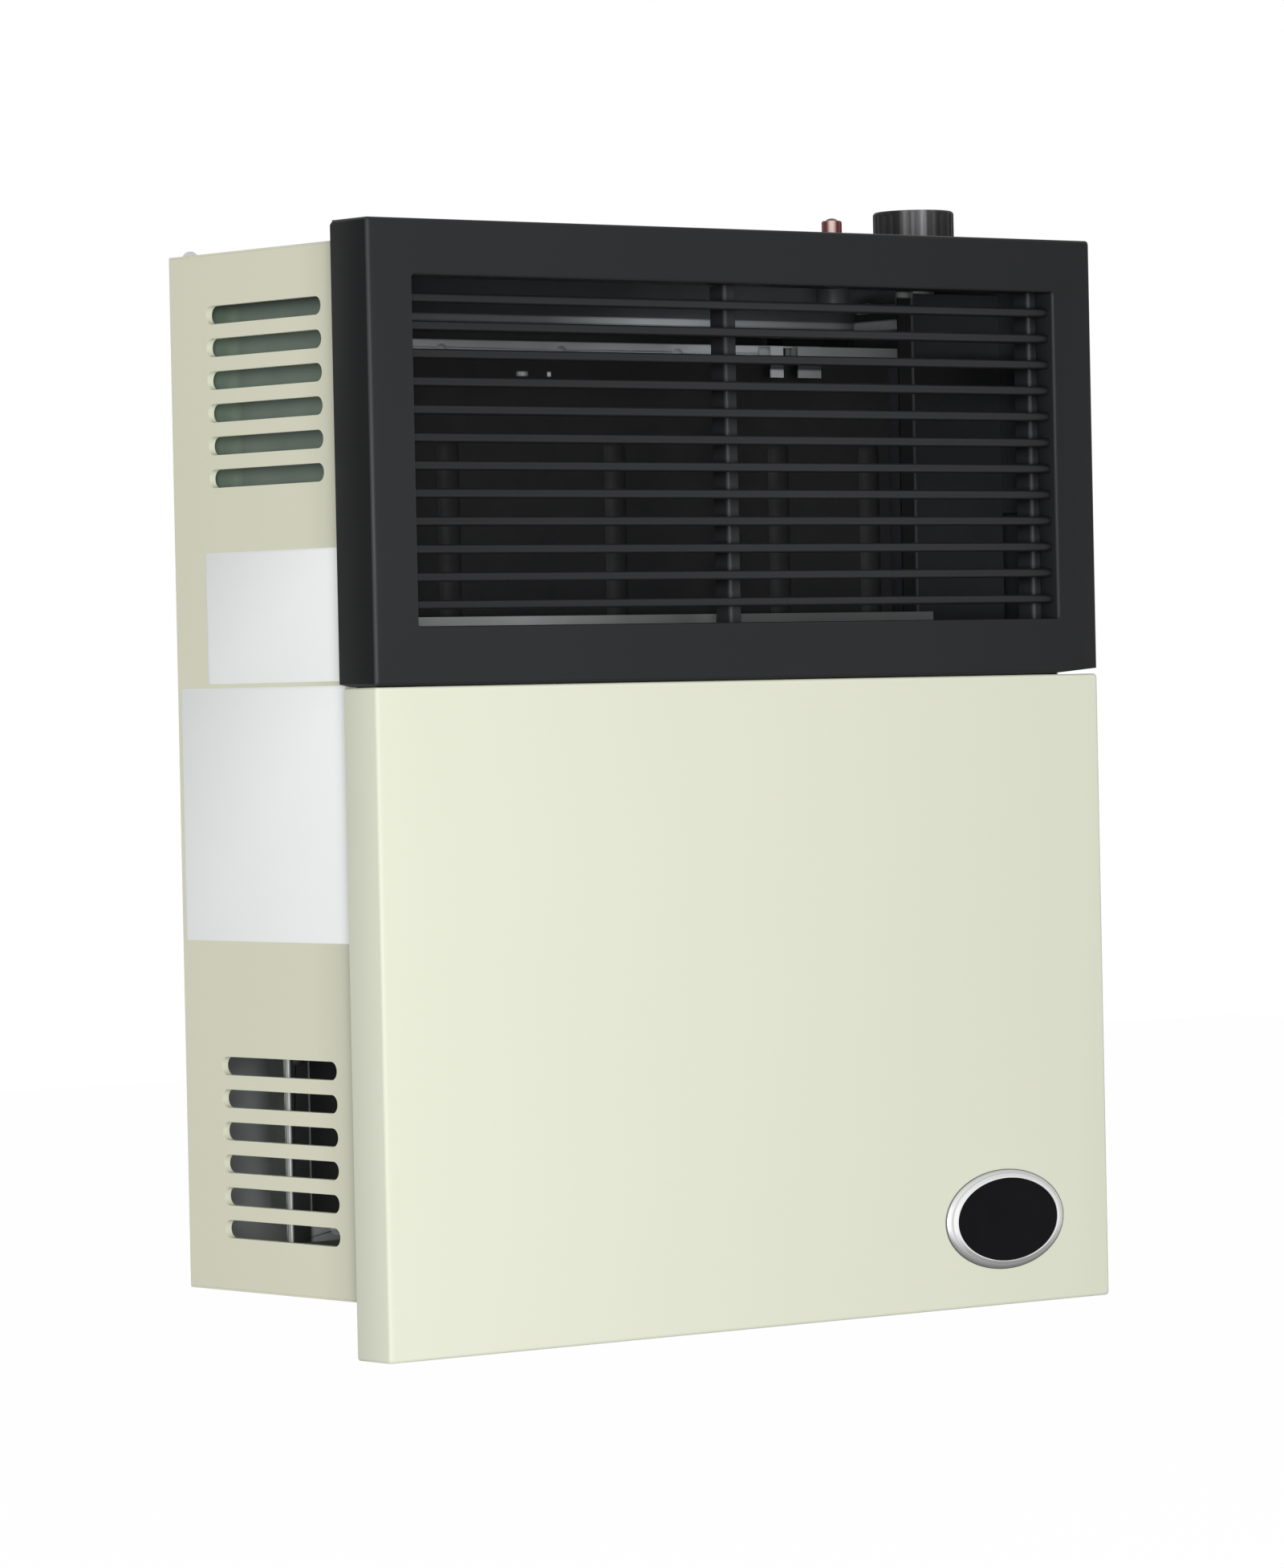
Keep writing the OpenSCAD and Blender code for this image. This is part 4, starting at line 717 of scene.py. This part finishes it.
def rounded_ring(half_w, low, high, y, radius, steps=3):
    """Points of a rounded rectangle in X and Z, counter-clockwise as seen from the room."""
    corners = [(half_w - radius, low + radius, -90), (half_w - radius, high - radius, 0),
               (radius - half_w, high - radius, 90), (radius - half_w, low + radius, 180)]
    return [(x + radius * math.cos(angle), y, z + radius * math.sin(angle))
            for x, z, start in corners for angle in arc(start, start + 90, steps)]


def turned(axis, profile, steps):
    """Rings round an upright axis, from (radius, height) pairs."""
    return [[(axis[0] + radius * math.cos(angle), axis[1] + radius * math.sin(angle), z)
             for angle in full_turn(steps)] for radius, z in profile]


def loft(shape, rings, cap_first=False, cap_last=False):
    """Faces between rings of equally many points; the caps close the ends."""
    made = [[shape.verts.new([size * MM for size in point]) for point in ring] for ring in rings]
    for low, high in zip(made, made[1:]):
        for k in range(len(low)):
            after = (k + 1) % len(low)
            shape.faces.new((low[k], low[after], high[after], high[k]))
    if cap_first:
        shape.faces.new(made[0][::-1])
    if cap_last:
        shape.faces.new(made[-1])


def cut_away(shape, planes, drop):
    """Splits the shape along the planes and deletes the faces that drop picks by middle and normal."""
    for point, normal in planes:
        geometry = shape.verts[:] + shape.edges[:] + shape.faces[:]
        bmesh.ops.bisect_plane(shape, geom=geometry, plane_co=[size * MM for size in point], plane_no=normal)
    shape.normal_update()
    gone = [face for face in shape.faces if drop(face.calc_center_median() / MM, face.normal)]
    bmesh.ops.delete(shape, geom=gone, context="FACES")
    bmesh.ops.remove_doubles(shape, verts=shape.verts[:], dist=WELD * MM)


def smooth(mesh, degrees):
    """Smooth shading, with sharp edges where faces meet at more than the angle."""
    mesh.shade_smooth()
    mesh.set_sharp_from_angle(angle=math.radians(degrees))


def piece(name, shape, finish, replaces=(), body="heater", sharp_degrees=SHARP_DEGREES):
    """Turns the shape into a named piece that rides on a body and stands for CAD nodes."""
    mesh = bpy.data.meshes.new(name)
    shape.normal_update()
    shape.to_mesh(mesh)
    shape.free()
    mesh.materials.append(materials[finish])
    smooth(mesh, sharp_degrees)
    obj = bpy.data.objects.new(name, mesh)
    bpy.context.collection.objects.link(obj)
    if replaces:
        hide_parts(*replaces)
    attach(obj, body)
    return obj


def break_edges(obj, width, degrees):
    """A modifier that bevels the edges where faces meet at more than the angle."""
    bevel = obj.modifiers.new("edges", "BEVEL")
    bevel.width = width * MM
    bevel.segments = 2
    bevel.limit_method = "ANGLE"
    bevel.angle_limit = math.radians(degrees)


def thicken(obj):
    """Gives a sheet its thickness behind the surface that shows, and breaks its cut edges."""
    solid = obj.modifiers.new("sheet", "SOLIDIFY")
    solid.thickness = SHEET * MM
    solid.offset = -1
    solid.use_even_offset = True
    break_edges(obj, CUT_EDGE, 50)
    view = bpy.context.evaluated_depsgraph_get()
    mesh = bpy.data.meshes.new_from_object(obj.evaluated_get(view))
    obj.modifiers.clear()
    obj.data = mesh
    smooth(mesh, SHARP_DEGREES)


# ---------- Front cover ----------

# Where the seam starts to rise, a little left of the window's right edge, and how far it rises.
RELIEF_START, RELIEF_RISE = WINDOW_X - 8, 2.7
# The left flange's rear corners are cut, at 45 degrees at the top and flatter at the seam.
CHAMFER, DIAGONAL = 2.4, (0, 0.7071, 0.7071)
SEAM_REACH, SEAM_RISE = 9, 1.4


def pan_rings(low, high, side_rear, low_rear, high_rear):
    """The flanges and bends of one half of the cover, from the flanges' rear edges to the face."""
    def rear_edge(z):
        if z < low + NEAR:
            return low_rear
        return high_rear if z > high - NEAR else side_rear

    rings = [[(x, rear_edge(z), z) for x, _, z in rounded_ring(COVER_X, low, high, side_rear, CORNER)]]
    for angle in arc(0, 90, BEND_STEPS):
        inset = BEND * (1 - math.cos(angle))
        rings.append(rounded_ring(COVER_X - inset, low + inset, high - inset,
                                  FACE_Y + BEND - BEND * math.sin(angle), CORNER))
    return rings


def window_rings():
    """The bend round the window and its return, from the face to the return's rear edge."""
    rings = []
    for angle in arc(0, 90, BEND_STEPS):
        out = WINDOW_BEND * (1 - math.sin(angle))
        rings.append(rounded_ring(WINDOW_X + out, WINDOW_LOW - out, WINDOW_HIGH + out,
                                  FACE_Y + WINDOW_BEND * (1 - math.cos(angle)), WINDOW_CORNER + out))
    rings.append(rounded_ring(WINDOW_X, WINDOW_LOW, WINDOW_HIGH, WINDOW_REAR, WINDOW_CORNER))
    return rings


def cut_seam_relief(shape):
    """The bezel's lower edge rises towards its right end."""
    slope = RELIEF_RISE / (COVER_X - RELIEF_START)
    cut_away(shape, [((RELIEF_START, 0, 0), (1, 0, 0)), ((RELIEF_START, 0, BEZEL_LOW), (-slope, 0, 1))],
             lambda place, normal: (place.x > RELIEF_START
                                    and place.z < BEZEL_LOW + (place.x - RELIEF_START) * slope))


def cut_left_flange(shape):
    """The rear corners of the bezel's left flange."""
    inner_x = SHEET - COVER_X
    inner_plane = ((inner_x, 0, 0), (1, 0, 0))
    cut_away(shape, [inner_plane, ((0, BEZEL_REAR, BEZEL_HIGH - CHAMFER), DIAGONAL)],
             lambda place, normal: (place.x < inner_x
                                    and place.y - BEZEL_REAR + place.z - BEZEL_HIGH + CHAMFER > 0))
    length = math.hypot(SEAM_REACH, SEAM_RISE)
    slant = (0, SEAM_RISE / length, -SEAM_REACH / length)
    cut_away(shape, [inner_plane, ((0, BEZEL_REAR, BEZEL_LOW + SEAM_RISE), slant)],
             lambda place, normal: (place.x < inner_x and place.z < BEZEL_LOW
                                    + SEAM_RISE * (1 + (place.y - BEZEL_REAR) / SEAM_REACH)))


def make_bezel():
    """The black upper half: flanges, face and the window's returns as one bent sheet."""
    shape = bmesh.new()
    loft(shape, pan_rings(BEZEL_LOW, BEZEL_HIGH, BEZEL_REAR, SEAM_REAR, BEZEL_REAR) + window_rings())
    cut_seam_relief(shape)
    cut_left_flange(shape)
    thicken(piece("bezel_sheet", shape, "black_enamel", ["grille_bezel"]))


def make_front_panel():
    """The cream lower half, with a return along its seam between the rails."""
    shape = bmesh.new()
    loft(shape, pan_rings(PANEL_LOW, PANEL_HIGH, PANEL_REAR, PANEL_REAR, SEAM_REAR), cap_last=True)
    cut_away(shape, [((WINDOW_X, 0, 0), (1, 0, 0)), ((-WINDOW_X, 0, 0), (1, 0, 0))],
             lambda place, normal: abs(place.x) > WINDOW_X and normal.z > 0.99)
    thicken(piece("front_sheet", shape, "cream_enamel", ["front_panel"]))


def slat_profile():
    """A slat's outline in Y and Z: a round nose and slightly broken rear edges."""
    nose, front = SLAT_HEIGHT / 2, SLAT_REAR - SLAT_DEPTH
    outline = [(SLAT_REAR, nose - SLAT_BREAK), (SLAT_REAR - SLAT_BREAK, nose)]
    outline += [(front + nose + nose * math.cos(angle), nose * math.sin(angle)) for angle in arc(90, 270, 12)]
    outline += [(SLAT_REAR - SLAT_BREAK, -nose), (SLAT_REAR, SLAT_BREAK - nose)]
    return outline


def make_slats():
    """All the grille's blades as one piece."""
    shape = bmesh.new()
    for z in slat_heights():
        rings = [[(x, y, z + rise) for y, rise in slat_profile()] for x in (-SLAT_X, SLAT_X)]
        loft(shape, rings, cap_first=True, cap_last=True)
    bmesh.ops.recalc_face_normals(shape, faces=shape.faces[:])
    piece("slat_blades", shape, "slat_black", ["grille_slats"])


# ---------- Badge ----------

# The rim's section: inset from 0 at its foot to 1 at the inlay, and rise off the cover's face.
RIM_SECTION = ((0, 0), (0, 0.35), (0.03, 0.5), (0.10, 0.55), (0.13, 0.75), (0.20, 1.15), (0.45, 1.95),
               (0.52, 2.0), (0.60, 2.2), (0.80, 2.75), (0.90, 2.95), (0.96, 3.0), (1.0, 2.85), (1.0, 1.0))
INLAY_FOOT, INLAY_RISE, INLAY_DOME, INLAY_RINGS = 0.1, 2.4, 0.3, 9


def oval_ring(inset, rise):
    """One ring of the badge, at an inset and a rise."""
    half_w, half_h = (outer + (inner - outer) * inset for outer, inner in zip(BADGE_HALF, INLAY_HALF))
    return [(BADGE[0] + half_w * math.cos(angle), FACE_Y - rise, BADGE[1] + half_h * math.sin(angle))
            for angle in full_turn(96)]


def make_badge_rim():
    """A bright rim that slopes up to the inlay, with a painted shadow line on the fine lip round its foot."""
    shape = bmesh.new()
    loft(shape, [oval_ring(inset, rise) for inset, rise in RIM_SECTION])
    rim = piece("badge_band", shape, "chrome_rim", ["badge_rim"], sharp_degrees=50)
    two_finishes(rim, "rim_foot_shadow", badge_foot)


def make_badge_inlay():
    """A bare plate with a very flat dome."""
    rings = [oval_ring(1.0, INLAY_FOOT)]
    for share in (k / INLAY_RINGS for k in range(INLAY_RINGS)):
        rings.append([(BADGE[0] + (x - BADGE[0]) * (1 - share), y - INLAY_DOME * math.sqrt(share),
                       BADGE[1] + (z - BADGE[1]) * (1 - share)) for x, y, z in oval_ring(1.0, INLAY_RISE)])
    shape = bmesh.new()
    loft(shape, rings, cap_last=True)
    piece("badge_plate", shape, "black_gloss", ["badge_inlay"])


# ---------- Knob ----------

def knob_ring(radius, z, depth):
    """One ring of the knob; depth is how deep the flutes are cut at this height."""
    points = []
    for k, angle in enumerate(full_turn(FLUTES * FLUTE_SAMPLES)):
        from_middle = ((k % FLUTE_SAMPLES) / FLUTE_SAMPLES - 0.5) * 2 * math.pi / FLUTES * radius
        chord = math.sqrt(max(FLUTE_R ** 2 - from_middle ** 2, 0))
        cut = max(0.0, chord - (FLUTE_R - depth)) if depth > 0 else 0
        points.append((KNOB[0] + (radius - cut) * math.cos(angle),
                       KNOB[1] + (radius - cut) * math.sin(angle), z))
    return points


def flute_depth(below):
    """The flutes run out in round ends, just below the rim at the top."""
    share = max(0.0, (FLUTE_END - below) / FLUTE_END_LENGTH)
    return FLUTE_DEPTH * math.sqrt(max(0.0, 1 - share * share))


def make_knob_body():
    """A fluted knob with a rounded shoulder and a dished top."""
    foot = ((1.4, 0.5, 0.5), (0.5, 0, FLUTE_DEPTH), (0, 0.5, FLUTE_DEPTH))
    dish = ((16.4, 0), (15.9, 0.2), (15.5, 0.9), (6, 1.0))
    rings = [knob_ring(KNOB_R - inset, KNOB_LOW + rise, depth) for inset, rise, depth in foot]
    rings += [knob_ring(KNOB_R, KNOB_HIGH - below, flute_depth(below)) for below in (3.2, 2.7, 2.3, 2.0)]
    for angle in arc(0, 90, 7)[1:]:
        inset, below = (KNOB_SHOULDER * (1 - turn(angle)) for turn in (math.cos, math.sin))
        rings.append(knob_ring(KNOB_R - inset, KNOB_HIGH - below, flute_depth(below)))
    rings += [knob_ring(radius, KNOB_HIGH - below, 0) for radius, below in dish]
    shape = bmesh.new()
    loft(shape, rings, cap_first=True, cap_last=True)
    piece("knob_body", shape, "knob_plastic", ["control_knob"], body="knob")


def make_knob_pointer():
    """The pointer rib in the knob's dish."""
    half_w, front, rear = 1.3, -16.2, 1.6
    outline = [(-half_w, front), (half_w, front), (half_w, rear), (-half_w, rear)]
    rings = []
    for below, shrink in ((1.2, 0), (0.35, 0), (0.05, 0.35)):
        rings.append([(KNOB[0] + x - math.copysign(shrink, x), KNOB[1] + y - math.copysign(shrink, y),
                       KNOB_HIGH - below) for x, y in outline])
    shape = bmesh.new()
    loft(shape, rings, cap_last=True)
    piece("knob_pointer", shape, "knob_plastic", body="knob")


# ---------- Button ----------

def make_button_body():
    """The red push button, with a rounded shoulder and a round seat for the cap."""
    profile = [(BUTTON_R - 0.4, BUTTON_LOW), (BUTTON_R, BUTTON_LOW + 0.5),
               (BUTTON_R, BUTTON_TOP - BUTTON_SHOULDER)]
    profile += [(BUTTON_R - BUTTON_SHOULDER + BUTTON_SHOULDER * math.cos(angle),
                 BUTTON_TOP - BUTTON_SHOULDER + BUTTON_SHOULDER * math.sin(angle))
                for angle in arc(0, 90, 6)[1:]]
    profile += [(CAP_R + 0.25, BUTTON_TOP), (CAP_R + 0.1, BUTTON_TOP - 0.3)]
    shape = bmesh.new()
    loft(shape, turned(BUTTON, profile, 64), cap_first=True, cap_last=True)
    piece("button_body", shape, "red_plastic", ["igniter_button"], body="button")


def make_button_cap():
    """A small smoked dome let into the button's top."""
    profile = [(CAP_R, BUTTON_TOP - 0.4), (CAP_R, BUTTON_TOP)]
    profile += [(CAP_R * math.cos(angle), BUTTON_TOP + CAP_RISE * math.sin(angle))
                for angle in arc(0, 90, 6)[1:-1]]
    shape = bmesh.new()
    loft(shape, turned(BUTTON, profile, 40), cap_last=True)
    piece("button_cap", shape, "smoked_cap", body="button")


# ---------- Stickers ----------

def make_stickers():
    """Two blank stickers with round corners on the left side; their outer edges draw in a little."""
    shape = bmesh.new()
    for front, rear, low, high in STICKERS:
        half_w, centre = (rear - front) / 2, (rear + front) / 2
        rings = []
        for rise, shrink in ((0, 0), (0.16, 0), (0.2, 0.08)):
            flat = rounded_ring(half_w - shrink, low + shrink, high - shrink, 0, STICKER_CORNER, steps=5)
            rings.append([(SIDE_X - rise, centre - along, z) for along, _, z in flat])
        loft(shape, rings, cap_last=True)
    piece("blank_stickers", shape, "sticker", ["side_labels"])


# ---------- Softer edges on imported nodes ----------

SOFT_EDGES = {"top_panel": 0.3, "bottom_panel": 0.3, "chamber_front_shell": 0.8, "valve_body": 0.8,
              "valve_cover": 0.4}


def soften(node, width):
    """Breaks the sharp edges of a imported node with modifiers; its own mesh stays as it is."""
    obj = frame["nodes"][node]
    weld = obj.modifiers.new("weld", "WELD")
    weld.merge_threshold = 0.002 * MM
    break_edges(obj, width, 40)


bpy.context.scene.view_settings.view_transform = "Standard"
make_camera()
make_world()
make_key_lamp()
make_floor()
finish_cad_nodes()
make_bezel()
make_front_panel()
make_slats()
make_badge_rim()
make_badge_inlay()
make_knob_body()
make_knob_pointer()
make_button_body()
make_button_cap()
make_stickers()
for soft_node, edge_width in SOFT_EDGES.items():
    soften(soft_node, edge_width)
